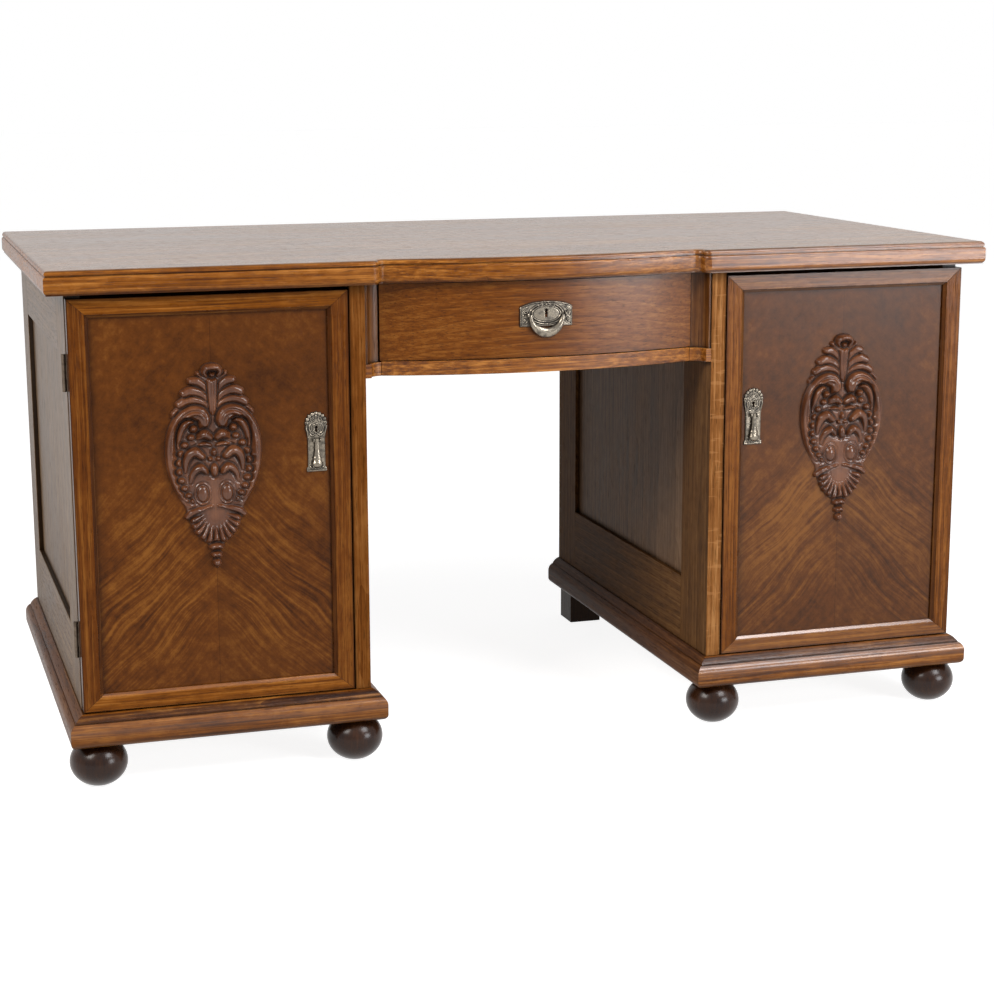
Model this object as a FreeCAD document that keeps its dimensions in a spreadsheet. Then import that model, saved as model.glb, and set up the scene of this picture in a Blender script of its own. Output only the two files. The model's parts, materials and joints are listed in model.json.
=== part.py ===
import FreeCAD, Part
import math
import os
import Sketcher
from FreeCAD import Vector

# A twin-pedestal oak desk, in millimetres. X runs to the right, Y to the back, Z up.
# The origin is on the floor, under the middle of the box that holds the desk.

doc = FreeCAD.newDocument("executive_desk")
sheet = doc.addObject("Spreadsheet::Sheet", "sizes")


class Length:
    """A size with its number now and the expression that ties it to the sheet."""

    def __init__(self, value, text):
        self.value = float(value)
        self.text = text

    def __add__(self, other):
        return combine(self, "+", other)

    def __radd__(self, other):
        return combine(other, "+", self)

    def __sub__(self, other):
        return combine(self, "-", other)

    def __rsub__(self, other):
        return combine(other, "-", self)

    def __mul__(self, other):
        return combine(self, "*", other)

    def __rmul__(self, other):
        return combine(other, "*", self)

    def __truediv__(self, other):
        return combine(self, "/", other)

    def __neg__(self):
        return combine(-1, "*", self)


def as_length(thing):
    """A plain number is a share or a zero, and is written as it stands."""
    return thing if isinstance(thing, Length) else Length(thing, f"({float(thing)})")


def combine(left, sign, right):
    """One step of arithmetic, done on the numbers and written as an expression."""
    left = as_length(left)
    right = as_length(right)
    steps = {
        "+": lambda one, two: one + two,
        "-": lambda one, two: one - two,
        "*": lambda one, two: one * two,
        "/": lambda one, two: one / two,
    }
    return Length(steps[sign](left.value, right.value), f"({left.text} {sign} {right.text})")


def root(thing):
    """The square root of an area."""
    return Length(math.sqrt(thing.value), f"sqrt({thing.text})")


def arc_radius(half_chord, rise):
    """The radius of an arc that rises by rise over twice half_chord."""
    return (half_chord * half_chord + rise * rise) / (2 * rise)


row_of = {}


def size(alias, value):
    """A driving dimension: one cell of the sheet, with its alias."""
    row_of[alias] = len(row_of) + 1
    sheet.set(f"A{row_of[alias]}", alias)
    sheet.set(f"B{row_of[alias]}", str(value))
    sheet.setAlias(f"B{row_of[alias]}", alias)
    return Length(value, f"sizes.{alias}")


# Whole desk
desk_height = size("desk_height", 780)
top_width = size("top_width", 1506)
top_depth = size("top_depth", 759)              # from the crown of the bow to the rear edge
top_thickness = size("top_thickness", 36)
bow_proud = size("bow_proud", 7)                # crown of the bow past the straight fronts
bow_rise = size("bow_rise", 26)
bow_inset = size("bow_inset", 31)               # end of the bow from the pedestal's side
break_convex = size("break_convex", 12)
break_concave = size("break_concave", 10)
front_overhang = size("front_overhang", 19)
side_overhang = size("side_overhang", 31)
fit_gap = size("fit_gap", 0.3)
cut_over = size("cut_over", 5)                  # how far every cutting tool runs past its piece

# Moulded edge of the top
edge_face = size("edge_face", 27.5)             # height of the convex band
edge_quirk = size("edge_quirk", 1.5)            # height of the dark line over the band
edge_quirk_depth = size("edge_quirk_depth", 3)
edge_lip_setback = size("edge_lip_setback", 1.5)
edge_lip_round = size("edge_lip_round", 5.5)
edge_band_round = size("edge_band_round", 4.5)
edge_under_round = size("edge_under_round", 8)

# Pedestals
pedestal_width = size("pedestal_width", 441)
side_thickness = size("side_thickness", 24)
side_stile = size("side_stile", 111)
rear_stile = size("rear_stile", 94)
side_top_rail = size("side_top_rail", 99)
side_bottom_rail = size("side_bottom_rail", 109)
side_panel_recess = size("side_panel_recess", 7.5)
side_panel_thickness = size("side_panel_thickness", 9)
groove_depth = size("groove_depth", 8)
back_thickness = size("back_thickness", 20)
back_stile = size("back_stile", 70)
board_thickness = size("board_thickness", 18)
top_rail_depth = size("top_rail_depth", 60)
top_rail_height = size("top_rail_height", 22)
shelf_height = size("shelf_height", 430)        # underside of the shelf above the floor
shelf_setback = size("shelf_setback", 26)
bearer_width = size("bearer_width", 14)
bearer_height = size("bearer_height", 20)

# Plinth and feet
plinth_top = size("plinth_top", 118)
plinth_height = size("plinth_height", 49)
plinth_reach = size("plinth_reach", 22)         # bead past the pedestal face
plinth_slope_reach = size("plinth_slope_reach", 13)
plinth_slope_drop = size("plinth_slope_drop", 10)
plinth_quirk = size("plinth_quirk", 1.6)
plinth_under_cut = size("plinth_under_cut", 10)
back_plinth_thickness = size("back_plinth_thickness", 22)
foot_block = size("foot_block", 60)
ball_radius = size("ball_radius", 43)
ball_flat = size("ball_flat", 0.9)              # how much of the ball is cut off at the floor
ball_inset = size("ball_inset", 22)
block_foot_side = size("block_foot_side", 60)
block_foot_inset = size("block_foot_inset", 4)

# Doors
door_thickness = size("door_thickness", 21)
door_gap = size("door_gap", 1)                  # between the back of a door and the side's edge
door_hinge_inset = size("door_hinge_inset", 1)
door_lock_gap = size("door_lock_gap", 2)
door_top_gap = size("door_top_gap", 7)
door_bottom_gap = size("door_bottom_gap", 1.5)
door_stile = size("door_stile", 31)
door_top_rail = size("door_top_rail", 28)
door_bottom_rail = size("door_bottom_rail", 26)
door_bevel_quirk = size("door_bevel_quirk", 0.8)
door_bevel_drop = size("door_bevel_drop", 4)
door_panel_recess = size("door_panel_recess", 7)
door_panel_thickness = size("door_panel_thickness", 8)
door_groove = size("door_groove", 6)
door_bevel_share = 0.17                         # of the width of the stile or rail that has it

# Butt hinges
hinge_length = size("hinge_length", 55)
hinge_end_gap = size("hinge_end_gap", 81)       # from each end of the door
hinge_offset = size("hinge_offset", 3.5)        # axis outside the pedestal's side
knuckle_radius = size("knuckle_radius", 3.2)
hinge_pin_radius = size("hinge_pin_radius", 1.6)
hinge_pin_play = size("hinge_pin_play", 0.06)
leaf_thickness = size("leaf_thickness", 1.6)
leaf_width = size("leaf_width", 20)
leaf_play = size("leaf_play", 0.2)              # between the two closed leaves, and knuckles
knuckle_share = 1 / 3                           # of the hinge that the door's knuckle takes

# Door locks
lock_height = size("lock_height", 58)
lock_backset = size("lock_backset", 51)         # keyhole from the door's lock edge
lock_margin = size("lock_margin", 12)
lock_thickness = size("lock_thickness", 12)
lock_centre = size("lock_centre", 525)          # keyhole above the floor
bolt_length = size("bolt_length", 22)
bolt_height = size("bolt_height", 20)
bolt_thickness = size("bolt_thickness", 6)
bolt_throw = size("bolt_throw", 9)
bolt_play = size("bolt_play", 0.15)
strike_thickness = size("strike_thickness", 1.5)
strike_height = size("strike_height", 44)
strike_width = size("strike_width", 16)
mortise_play = size("mortise_play", 0.8)

# Door handles
plate_width = size("plate_width", 32)
plate_height = size("plate_height", 91)
plate_drop = size("plate_drop", 61)             # lower edge of the plate under the lock
plate_thickness = size("plate_thickness", 2.4)
drop_axis_rise = size("drop_axis_rise", 48)     # above the plate's lower edge
drop_length = size("drop_length", 45)
drop_top_width = size("drop_top_width", 8)
drop_bottom_width = size("drop_bottom_width", 19)
drop_thickness = size("drop_thickness", 5)
drop_eye_radius = size("drop_eye_radius", 3.4)
drop_pin_radius = size("drop_pin_radius", 1.5)
pin_play = size("pin_play", 0.08)
ear_thickness = size("ear_thickness", 2)
ear_play = size("ear_play", 0.3)
keyhole_radius = size("keyhole_radius", 1.9)
keyhole_drop = size("keyhole_drop", 6)

# Carved cartouche
carving_height = size("carving_height", 309)
carving_width = size("carving_width", 140)
carving_ground = size("carving_ground", 6)
carving_rim = size("carving_rim", 13)
carving_boss = size("carving_boss", 9)
carving_rise_share = 0.6726                     # of what the carving leaves of the door

# Drawer case between the pedestals
case_height = size("case_height", 142)          # from the underside of the rail to the top
rail_height = size("rail_height", 22)
post_block_width = size("post_block_width", 29)
rail_end_setback = size("rail_end_setback", 20)
rail_bow = size("rail_bow", 39)
rail_back = size("rail_back", 55)               # behind the pedestal fronts
post_width = size("post_width", 26)
post_setback = size("post_setback", 3)
post_round = size("post_round", 22)
post_block_height = size("post_block_height", 21)
runner_width = size("runner_width", 43)
guide_height = size("guide_height", 26)
kicker_height = size("kicker_height", 12)
apron_thickness = size("apron_thickness", 20)

# Drawer
drawer_play = size("drawer_play", 1)            # under, over and beside the drawer
drawer_end_setback = size("drawer_end_setback", 22)
drawer_bow = size("drawer_bow", 36)
drawer_front_thickness = size("drawer_front_thickness", 20)
drawer_side_play = size("drawer_side_play", 3)
drawer_side_thickness = size("drawer_side_thickness", 12)
drawer_side_height = size("drawer_side_height", 103)
drawer_rear_gap = size("drawer_rear_gap", 111)  # behind the closed drawer
drawer_bottom_thickness = size("drawer_bottom_thickness", 6)
drawer_bottom_lift = size("drawer_bottom_lift", 8)
drawer_groove = size("drawer_groove", 5)
drawer_lock_width = size("drawer_lock_width", 60)
drawer_lock_height = size("drawer_lock_height", 52)
drawer_lock_depth = size("drawer_lock_depth", 10)
drawer_bolt_width = size("drawer_bolt_width", 24)
drawer_bolt_length = size("drawer_bolt_length", 16)
drawer_bolt_throw = size("drawer_bolt_throw", 8)

# Drawer handle
bail_plate_width = size("bail_plate_width", 85)
bail_plate_height = size("bail_plate_height", 38)
bail_plate_drop = size("bail_plate_drop", 72)   # lower edge under the underside of the top
bail_axis_rise = size("bail_axis_rise", 18)     # above the plate's lower edge
bail_half = size("bail_half", 29)               # half the width of the bail outside
bail_hang = size("bail_hang", 35)               # from the axis to the lowest point
bail_arm = size("bail_arm", 6)
bail_belly = size("bail_belly", 13)
bail_thickness = size("bail_thickness", 5)
bail_pin_radius = size("bail_pin_radius", 1.2)

# Places that several pieces share
rear = top_depth / 2
front_edge = bow_proud - rear
front = front_edge + front_overhang             # the plane of the pedestal and door fronts
crown = -rear
carcass_front = front + door_thickness + door_gap
carcass_top = desk_height - top_thickness
outer_face = top_width / 2 - side_overhang
inner_face = outer_face - pedestal_width
outer_inside = outer_face - side_thickness
inner_inside = inner_face + side_thickness
plinth_bottom = plinth_top - plinth_height
back_front = rear - back_thickness
bow_half = inner_face - bow_inset               # half the width of the bowed stretch
rail_half = inner_face - post_block_width
rail_bottom = carcass_top - case_height
plate_bottom = lock_centre - plate_drop
drop_axis_height = plate_bottom + drop_axis_rise
bail_plate_bottom = carcass_top - bail_plate_drop
bail_axis_height = bail_plate_bottom + bail_axis_rise

kept = []                                       # the nodes, in the order of building


def bind(piece, place, length):
    """Ties one property of a piece to its expression."""
    piece.setExpression(place, as_length(length).text)


def keep(piece):
    """Marks a finished sub-part as a node."""
    kept.append(piece)
    return piece


def place(piece, x, y, z):
    """Puts a piece's own origin at a point."""
    for axis, length in zip("xyz", (x, y, z)):
        bind(piece, f"Placement.Base.{axis}", length)


def board(label, x_ends, y_ends, z_ends):
    """A plain board between two places along each axis, in either order."""
    piece = doc.addObject("Part::Box", label)
    for axis, edge, ends in zip("xyz", ("Length", "Width", "Height"), (x_ends, y_ends, z_ends)):
        low, high = sorted((as_length(end) for end in ends), key=lambda end: end.value)
        bind(piece, edge, high - low)
        bind(piece, f"Placement.Base.{axis}", low)
    return piece


def rod(label, radius, length, x, y, z, axis):
    """A round rod that starts at a point and runs along +X, +Y or +Z."""
    piece = doc.addObject("Part::Cylinder", label)
    bind(piece, "Radius", radius)
    bind(piece, "Height", length)
    turns = {
        "x": FreeCAD.Rotation(Vector(0, 1, 0), 90),
        "y": FreeCAD.Rotation(Vector(1, 0, 0), -90),
        "z": FreeCAD.Rotation(),
    }
    piece.Placement = FreeCAD.Placement(Vector(), turns[axis])
    place(piece, x, y, z)
    return piece


def group(label, *pieces):
    """Separate solids that are handled as one sub-part."""
    piece = doc.addObject("Part::Compound", label)
    piece.Links = list(pieces)
    return piece


def fuse(label, *pieces):
    """Pieces that are one solid."""
    piece = doc.addObject("Part::MultiFuse", label)
    piece.Shapes = list(pieces)
    piece.Refine = True
    return piece


def cut(label, base, *tools):
    """A piece with one or more tools cut out of it."""
    piece = doc.addObject("Part::Cut", label)
    piece.Base = base
    piece.Tool = tools[0] if len(tools) == 1 else group(f"{label}_tools", *tools)
    return piece


def body(label, x, y, z):
    """An empty body with its origin at a point."""
    piece = doc.addObject("PartDesign::Body", label)
    place(piece, x, y, z)
    return piece


def arc_between(start, end, radius):
    """An arc between two points, anticlockwise if the radius is positive, under a half turn."""
    chord = end - start
    reach = math.sqrt(max(radius * radius - chord.Length ** 2 / 4, 0))
    left = Vector(-chord.y, chord.x, 0).normalize()
    centre = (start + end) / 2 + left * math.copysign(reach, radius)
    first, last = (start, end) if radius > 0 else (end, start)
    angles = [math.atan2(point.y - centre.y, point.x - centre.x) for point in (first, last)]
    if angles[1] < angles[0]:
        angles[1] += 2 * math.pi
    circle = Part.Circle(centre, Vector(0, 0, 1), abs(radius))
    return Part.ArcOfCircle(circle, *angles)


def outline(piece, name, plane, corners):
    """A closed sketch on one of the body's own planes.

    A corner is (across, up), or (across, up, radius) where the edge that arrives there is an
    arc: anticlockwise with a positive radius, clockwise with a negative one.
    """
    sketch = piece.newObject("Sketcher::SketchObject", name)
    planes = {entry.Role: entry for entry in piece.Origin.OriginFeatures}
    sketch.AttachmentSupport = [(planes[f"{plane}_Plane"], "")]
    sketch.MapMode = "FlatFace"
    corners = [tuple(as_length(entry) for entry in corner) for corner in corners]
    points = [Vector(corner[0].value, corner[1].value, 0) for corner in corners]
    starts = []
    ends = []
    for index, corner in enumerate(corners):
        start = points[index - 1]
        end = points[index]
        if len(corner) == 2:
            edge = sketch.addGeometry(Part.LineSegment(start, end))
            starts.append((edge, 1))
            ends.append((edge, 2))
        else:
            edge = sketch.addGeometry(arc_between(start, end, corner[2].value))
            starts.append((edge, 1 if corner[2].value > 0 else 2))
            ends.append((edge, 2 if corner[2].value > 0 else 1))
            tie = sketch.addConstraint(Sketcher.Constraint("Radius", edge, abs(corner[2].value)))
            radius = corner[2] if corner[2].value > 0 else -corner[2]
            sketch.setExpression(f"Constraints[{tie}]", radius.text)
    for index, corner in enumerate(corners):
        following = starts[(index + 1) % len(corners)]
        sketch.addConstraint(Sketcher.Constraint("Coincident", *ends[index], *following))
        for kind, length in zip(("DistanceX", "DistanceY"), corner):
            at = Sketcher.Constraint(kind, -1, 1, *ends[index], length.value)
            tie = sketch.addConstraint(at)
            sketch.setExpression(f"Constraints[{tie}]", length.text)
    return sketch


def ring(piece, name, plane, across, up, radius):
    """A round sketch on one of the body's own planes."""
    sketch = piece.newObject("Sketcher::SketchObject", name)
    planes = {entry.Role: entry for entry in piece.Origin.OriginFeatures}
    sketch.AttachmentSupport = [(planes[f"{plane}_Plane"], "")]
    sketch.MapMode = "FlatFace"
    across = as_length(across)
    up = as_length(up)
    centre = Vector(across.value, up.value, 0)
    edge = sketch.addGeometry(Part.Circle(centre, Vector(0, 0, 1), radius.value))
    ties = (
        (Sketcher.Constraint("Radius", edge, radius.value), radius),
        (Sketcher.Constraint("DistanceX", -1, 1, edge, 3, across.value), across),
        (Sketcher.Constraint("DistanceY", -1, 1, edge, 3, up.value), up),
    )
    for constraint, length in ties:
        sketch.setExpression(f"Constraints[{sketch.addConstraint(constraint)}]", length.text)
    return sketch


def pad(piece, sketch, length, backwards=False):
    """Raises a sketch into a solid."""
    feature = piece.newObject("PartDesign::Pad", f"{sketch.Name}_pad")
    feature.Profile = sketch
    bind(feature, "Length", length)
    feature.Reversed = backwards
    return feature


def pocket(piece, sketch, length, backwards=False):
    """Cuts a sketch into a solid."""
    feature = piece.newObject("PartDesign::Pocket", f"{sketch.Name}_pocket")
    feature.Profile = sketch
    bind(feature, "Length", length)
    feature.Reversed = backwards
    return feature


def round_over(piece, name, radius, chosen):
    """Rounds the edges of the body so far that a test picks out."""
    doc.recompute()
    base = piece.Tip
    edges = [f"Edge{number}" for number, edge in enumerate(base.Shape.Edges, 1) if chosen(edge)]
    feature = piece.newObject("PartDesign::Fillet", name)
    feature.Base = (base, edges)
    bind(feature, "Radius", radius)
    return feature


# Desk top: one slab, straight over the pedestals and bowed over the kneehole


def top_outline(inset):
    """The plan of the top, drawn in by inset on every side but the rear."""
    half = top_width / 2 - inset
    straight = front_edge + inset
    turn = front_edge + break_convex
    bow_end = crown + bow_rise + inset
    nose = break_convex - inset
    hollow = break_concave + inset
    bow = arc_radius(bow_half, bow_rise)
    inner_x = bow_half + break_concave + inset
    outer_x = bow_half + break_concave + break_convex
    return [
        (-half, rear),
        (-half, straight),
        (-outer_x, straight),
        (-inner_x, turn, nose),
        (-bow_half, bow_end, -hollow),
        (bow_half, bow_end, bow),
        (inner_x, turn, -hollow),
        (outer_x, straight, nose),
        (half, straight),
        (half, rear),
    ]


def level_edge(height, margin):
    """Picks the level edges of the top at one height, all but the rear one."""

    def test(edge):
        box = edge.BoundBox
        level = abs(box.ZMin - height.value) < margin.value and box.ZLength < margin.value
        return level and box.YMin < rear.value - margin.value

    return test


top = body("desk_top_slab", 0, 0, carcass_top)
pad(top, outline(top, "top_band", "XY", top_outline(as_length(0))), edge_face)
edge_margin = edge_quirk / 4
round_over(top, "top_under_round", edge_under_round, level_edge(as_length(0), edge_margin))
round_over(top, "top_band_round", edge_band_round, level_edge(edge_face, edge_margin))
pad(top, outline(top, "top_quirk", "XY", top_outline(edge_quirk_depth)), edge_face + edge_quirk)
top_lip = body("desk_top_lip", 0, 0, carcass_top + edge_face + edge_quirk)
lip_height = top_thickness - edge_face - edge_quirk
pad(top_lip, outline(top_lip, "top_lip", "XY", top_outline(edge_lip_setback)), lip_height)
round_over(top_lip, "top_lip_round", edge_lip_round, level_edge(lip_height, edge_margin))

drawer_lock_y = front + drawer_end_setback - drawer_bow + drawer_front_thickness
drawer_bolt_y = drawer_lock_y - drawer_lock_depth / 2
top_mortise = board(
    "top_bolt_mortise",
    (-drawer_bolt_width / 2 - mortise_play, drawer_bolt_width / 2 + mortise_play),
    (drawer_bolt_y - bolt_thickness / 2 - mortise_play,
     drawer_bolt_y + bolt_thickness / 2 + mortise_play),
    (carcass_top - cut_over, carcass_top + drawer_bolt_throw + mortise_play),
)
keep(cut("desk_top", fuse("desk_top_blank", top, top_lip), top_mortise))


# Framed sides and backs: stiles and rails round a panel in a groove


def framed_panel(label, planes, ends, heights, widths, recess_from_low):
    """A frame of two stiles and two rails, and the panel in its groove.

    planes gives the frame's two faces, ends the stiles' outer edges and heights its top and
    bottom, each low to high. widths is (first stile, second stile, bottom rail, top rail).
    Along X the frame is a back, along Y a side, told by which pair is planes.
    """
    along, thick = planes

    def member(name, span, rise):
        faces = {"x": (thick, span), "y": (span, thick)}[along]
        return board(f"{label}_{name}", faces[0], faces[1], rise)

    first, second, low_rail, high_rail = widths
    window = (ends[0] + first, ends[1] - second)
    opening = (heights[0] + low_rail, heights[1] - high_rail)
    frame = group(
        f"{label}_members",
        member("first_stile", (ends[0], window[0]), heights),
        member("second_stile", (window[1], ends[1]), heights),
        member("bottom_rail", window, (heights[0], opening[0])),
        member("top_rail", window, (opening[1], heights[1])),
    )
    if recess_from_low:
        faces = (thick[0] + side_panel_recess, thick[0] + side_panel_recess + side_panel_thickness)
    else:
        faces = (thick[1] - side_panel_recess, thick[1] - side_panel_recess - side_panel_thickness)

    def inlay(name, spread):
        span = (window[0] - spread, window[1] + spread)
        rise = (opening[0] - spread, opening[1] + spread)
        sides = {"x": (faces, span), "y": (span, faces)}[along]
        return board(name, sides[0], sides[1], rise)

    keep(inlay(f"{label}_panel", groove_depth - fit_gap))
    return frame, inlay(f"{label}_groove", groove_depth)


hinge_y = front + door_thickness + door_gap / 2
door_low = plinth_top + door_bottom_gap
door_high = carcass_top - door_top_gap
hinge_low_ends = (door_low + hinge_end_gap, door_high - hinge_end_gap - hinge_length)
leaf_sink = leaf_play / 2 + leaf_thickness - door_gap / 2
panel_face = front + door_panel_recess
lock_face = panel_face + door_panel_thickness
strike_y = lock_face + lock_thickness / 2
bolt_low = lock_centre - bolt_height / 2
strikes = []
top_rails = []
bearers = []

for hand, side in (("left", -1), ("right", 1)):
    low_face, high_face = sorted((side * outer_face, side * outer_inside), key=lambda e: e.value)
    outer_frame, outer_groove = framed_panel(
        f"{hand}_outer_side", ("x", (low_face, high_face)), (carcass_front, rear),
        (plinth_top, carcass_top), (side_stile, rear_stile, side_bottom_rail, side_top_rail),
        side < 0,
    )
    hinge_seats = [
        board(
            f"{hand}_hinge_seat_{number}",
            (side * (outer_face + cut_over), side * (outer_face - leaf_width)),
            (carcass_front - cut_over, carcass_front + leaf_sink),
            (low_end, low_end + hinge_length),
        )
        for number, low_end in enumerate(hinge_low_ends, 1)
    ]
    keep(cut(f"{hand}_outer_side_frame", outer_frame, outer_groove, *hinge_seats))

    low_face, high_face = sorted((side * inner_face, side * inner_inside), key=lambda e: e.value)
    inner_frame, inner_groove = framed_panel(
        f"{hand}_inner_side", ("x", (low_face, high_face)), (front, rear),
        (plinth_top, carcass_top), (side_stile, rear_stile, side_bottom_rail, side_top_rail),
        side > 0,
    )
    strike_seat = board(
        f"{hand}_strike_seat",
        (side * (inner_inside - strike_thickness), side * (inner_inside + cut_over)),
        (strike_y - strike_width / 2, strike_y + strike_width / 2),
        (lock_centre - strike_height / 2, lock_centre + strike_height / 2),
    )
    bolt_hole_y = (strike_y - bolt_thickness / 2 - mortise_play,
                   strike_y + bolt_thickness / 2 + mortise_play)
    bolt_hole_z = (bolt_low - mortise_play, bolt_low + bolt_height + mortise_play)
    bolt_mortise = board(
        f"{hand}_bolt_mortise",
        (side * (inner_inside + cut_over), side * (inner_inside - bolt_throw - mortise_play)),
        bolt_hole_y, bolt_hole_z,
    )
    keep(cut(f"{hand}_inner_side_frame", inner_frame, inner_groove, strike_seat, bolt_mortise))

    strike = board(
        f"{hand}_strike_blank",
        (side * (inner_inside - strike_thickness), side * inner_inside),
        (strike_y - strike_width / 2, strike_y + strike_width / 2),
        (lock_centre - strike_height / 2, lock_centre + strike_height / 2),
    )
    strike_hole = board(
        f"{hand}_strike_hole",
        (side * (inner_inside - bolt_throw), side * (inner_inside + cut_over)),
        bolt_hole_y, bolt_hole_z,
    )
    strikes.append(cut(f"{hand}_strike_plate", strike, strike_hole))

    # Back of the pedestal, between the sides
    inside = sorted((side * inner_inside, side * outer_inside), key=lambda e: e.value)
    back_frame, back_groove = framed_panel(
        f"{hand}_back", ("y", (back_front, rear)), inside, (plinth_top, carcass_top),
        (back_stile, back_stile, side_bottom_rail, side_top_rail), False,
    )
    keep(cut(f"{hand}_back_frame", back_frame, back_groove))

    # Bottom, rails under the top, and a shelf on two bearers
    keep(board(f"{hand}_bottom_board", inside, (carcass_front, back_front),
               (plinth_top, plinth_top + board_thickness)))
    rail_rise = (carcass_top - top_rail_height, carcass_top)
    top_rails += [
        board(f"{hand}_front_top_rail", inside, (carcass_front, carcass_front + top_rail_depth),
              rail_rise),
        board(f"{hand}_rear_top_rail", inside, (back_front - top_rail_depth, back_front),
              rail_rise),
    ]
    shelf_front = carcass_front + shelf_setback
    keep(board(f"{hand}_shelf",
               (inside[0] + fit_gap, inside[1] - fit_gap),
               (shelf_front, back_front - fit_gap),
               (shelf_height, shelf_height + board_thickness)))
    bearer_rise = (shelf_height - bearer_height, shelf_height)
    bearers += [
        board(f"{hand}_low_bearer", (inside[0], inside[0] + bearer_width),
              (shelf_front, back_front), bearer_rise),
        board(f"{hand}_high_bearer", (inside[1] - bearer_width, inside[1]),
              (shelf_front, back_front), bearer_rise),
    ]

keep(group("strike_plates", *strikes))
keep(group("top_rails", *top_rails))
keep(group("shelf_bearers", *bearers))


# Plinth: a moulded front and sides, mitred at the corners, and a plain back board


def plinth_section(sign):
    """The moulding across the plinth, from its back edge round the bead.

    Distances across are from the pedestal's face, outwards along sign; heights are from the
    underside. The slope ends in a quirk, and the bead swells out below it.
    """
    slope_end = plinth_height - plinth_slope_drop
    bead_top = slope_end - plinth_quirk
    bead_share = 0.5
    nose = plinth_height * bead_share
    shoulder = plinth_slope_reach + plinth_quirk
    bead = arc_radius(bead_top - nose, plinth_reach - shoulder)
    foot_x = plinth_reach - plinth_under_cut
    return [
        (sign * -side_thickness, 0),
        (sign * foot_x, 0),
        (sign * plinth_reach, plinth_under_cut, sign * plinth_under_cut),
        (sign * plinth_reach, nose),
        (sign * shoulder, bead_top, sign * bead),
        (sign * plinth_slope_reach, bead_top),
        (sign * plinth_slope_reach, slope_end),
        (sign * plinth_quirk, plinth_height, sign * plinth_slope_reach * 2),
        (sign * -side_thickness, plinth_height),
    ]


plinth_backs = []
for hand, side in (("left", -1), ("right", 1)):
    # The front length runs along X, cut to the mitre at both ends
    width = pedestal_width + 2 * plinth_reach
    low_corner = sorted((side * (inner_face - plinth_reach), side * (outer_face + plinth_reach)),
                        key=lambda e: e.value)[0]
    piece = body(f"{hand}_plinth_front", low_corner, front, plinth_bottom)
    section = outline(piece, f"{hand}_front_section", "YZ", plinth_section(-1))
    pad(piece, section, width)
    span = plinth_reach + side_thickness
    run = span + cut_over
    mitres = (
        ("low", [(0 - cut_over, -plinth_reach - cut_over), (run, run - plinth_reach),
                 (0 - cut_over, run - plinth_reach)]),
        ("high", [(width + cut_over, -plinth_reach - cut_over),
                  (width + cut_over, run - plinth_reach), (width - run, run - plinth_reach)]),
    )
    for name, corners in mitres:
        waste = outline(piece, f"{hand}_front_mitre_{name}", "XY", corners)
        pocket(piece, waste, plinth_height + cut_over, backwards=True)
    keep(piece)

    # The sides run back from the mitre to the rear
    sides = []
    for name, face, sign in (("inner", inner_face, -side), ("outer", outer_face, side)):
        length = rear - front + plinth_reach
        part = body(f"{hand}_{name}_plinth", side * face, rear, plinth_bottom)
        section = outline(part, f"{hand}_{name}_section", "XZ", plinth_section(sign))
        pad(part, section, length)
        tip = -length
        corners = [
            (sign * (plinth_reach + cut_over), tip - cut_over),
            (sign * (plinth_reach - run), tip + run),
            (sign * (plinth_reach - run), tip - cut_over),
        ]
        waste = outline(part, f"{hand}_{name}_mitre", "XY", corners)
        pocket(part, waste, plinth_height + cut_over, backwards=True)
        sides.append(part)
    keep(group(f"{hand}_plinth_sides", *sides))
    inside = sorted((side * inner_inside, side * outer_inside), key=lambda e: e.value)
    plinth_backs.append(board(f"{hand}_plinth_back", inside, (rear - back_plinth_thickness, rear),
                              (plinth_bottom, plinth_top)))
keep(group("plinth_backs", *plinth_backs))

# Glued blocks inside the plinth's corners, which the feet are fixed up into
blocks = []
for hand, side in (("left", -1), ("right", 1)):
    for name, corner, inwards in (("inner", inner_inside, 1), ("outer", outer_inside, -1)):
        ends = (side * corner, side * (corner + inwards * foot_block))
        front_start = front + side_thickness
        rear_start = rear - back_plinth_thickness
        blocks.append(board(f"{hand}_{name}_front_block", ends,
                            (front_start, front_start + foot_block), (plinth_bottom, plinth_top)))
        blocks.append(board(f"{hand}_{name}_rear_block", ends,
                            (rear_start - foot_block, rear_start), (plinth_bottom, plinth_top)))
keep(group("plinth_corner_blocks", *blocks))

# Ball feet in front: turned balls, cut level under the plinth and a little at the floor
balls = []
ball_centre = ball_radius - ball_flat
ball_foot_radius = root(ball_radius * ball_radius - ball_centre * ball_centre)
ball_rise = plinth_bottom - ball_centre
ball_top_radius = root(ball_radius * ball_radius - ball_rise * ball_rise)
for hand, side in (("left", -1), ("right", 1)):
    for name, place_x in (("inner", inner_face + ball_inset), ("outer", outer_face - ball_inset)):
        ball = body(f"{hand}_{name}_ball", side * place_x, front + ball_inset, 0)
        half = outline(ball, f"{hand}_{name}_ball_half", "XZ", [
            (0, 0),
            (ball_foot_radius, 0),
            (ball_radius, ball_centre, ball_radius),
            (ball_top_radius, plinth_bottom, ball_radius),
            (0, plinth_bottom),
        ])
        turned = ball.newObject("PartDesign::Revolution", f"{hand}_{name}_ball_turned")
        turned.Profile = half
        turned.ReferenceAxis = (half, ["V_Axis"])
        turned.Angle = 360
        balls.append(ball)
keep(group("ball_feet", *balls))

block_feet = []
for hand, side in (("left", -1), ("right", 1)):
    for name, edge, inwards in (("inner", inner_face, 1), ("outer", outer_face, -1)):
        near = edge + inwards * block_foot_inset
        block_feet.append(board(
            f"{hand}_{name}_block_foot",
            (side * near, side * (near + inwards * block_foot_side)),
            (rear - block_foot_side, rear),
            (0, plinth_bottom),
        ))
keep(group("block_feet", *block_feet))


# Doors: mitred frames with a bevelled inner edge, and a veneered panel in their groove


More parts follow.
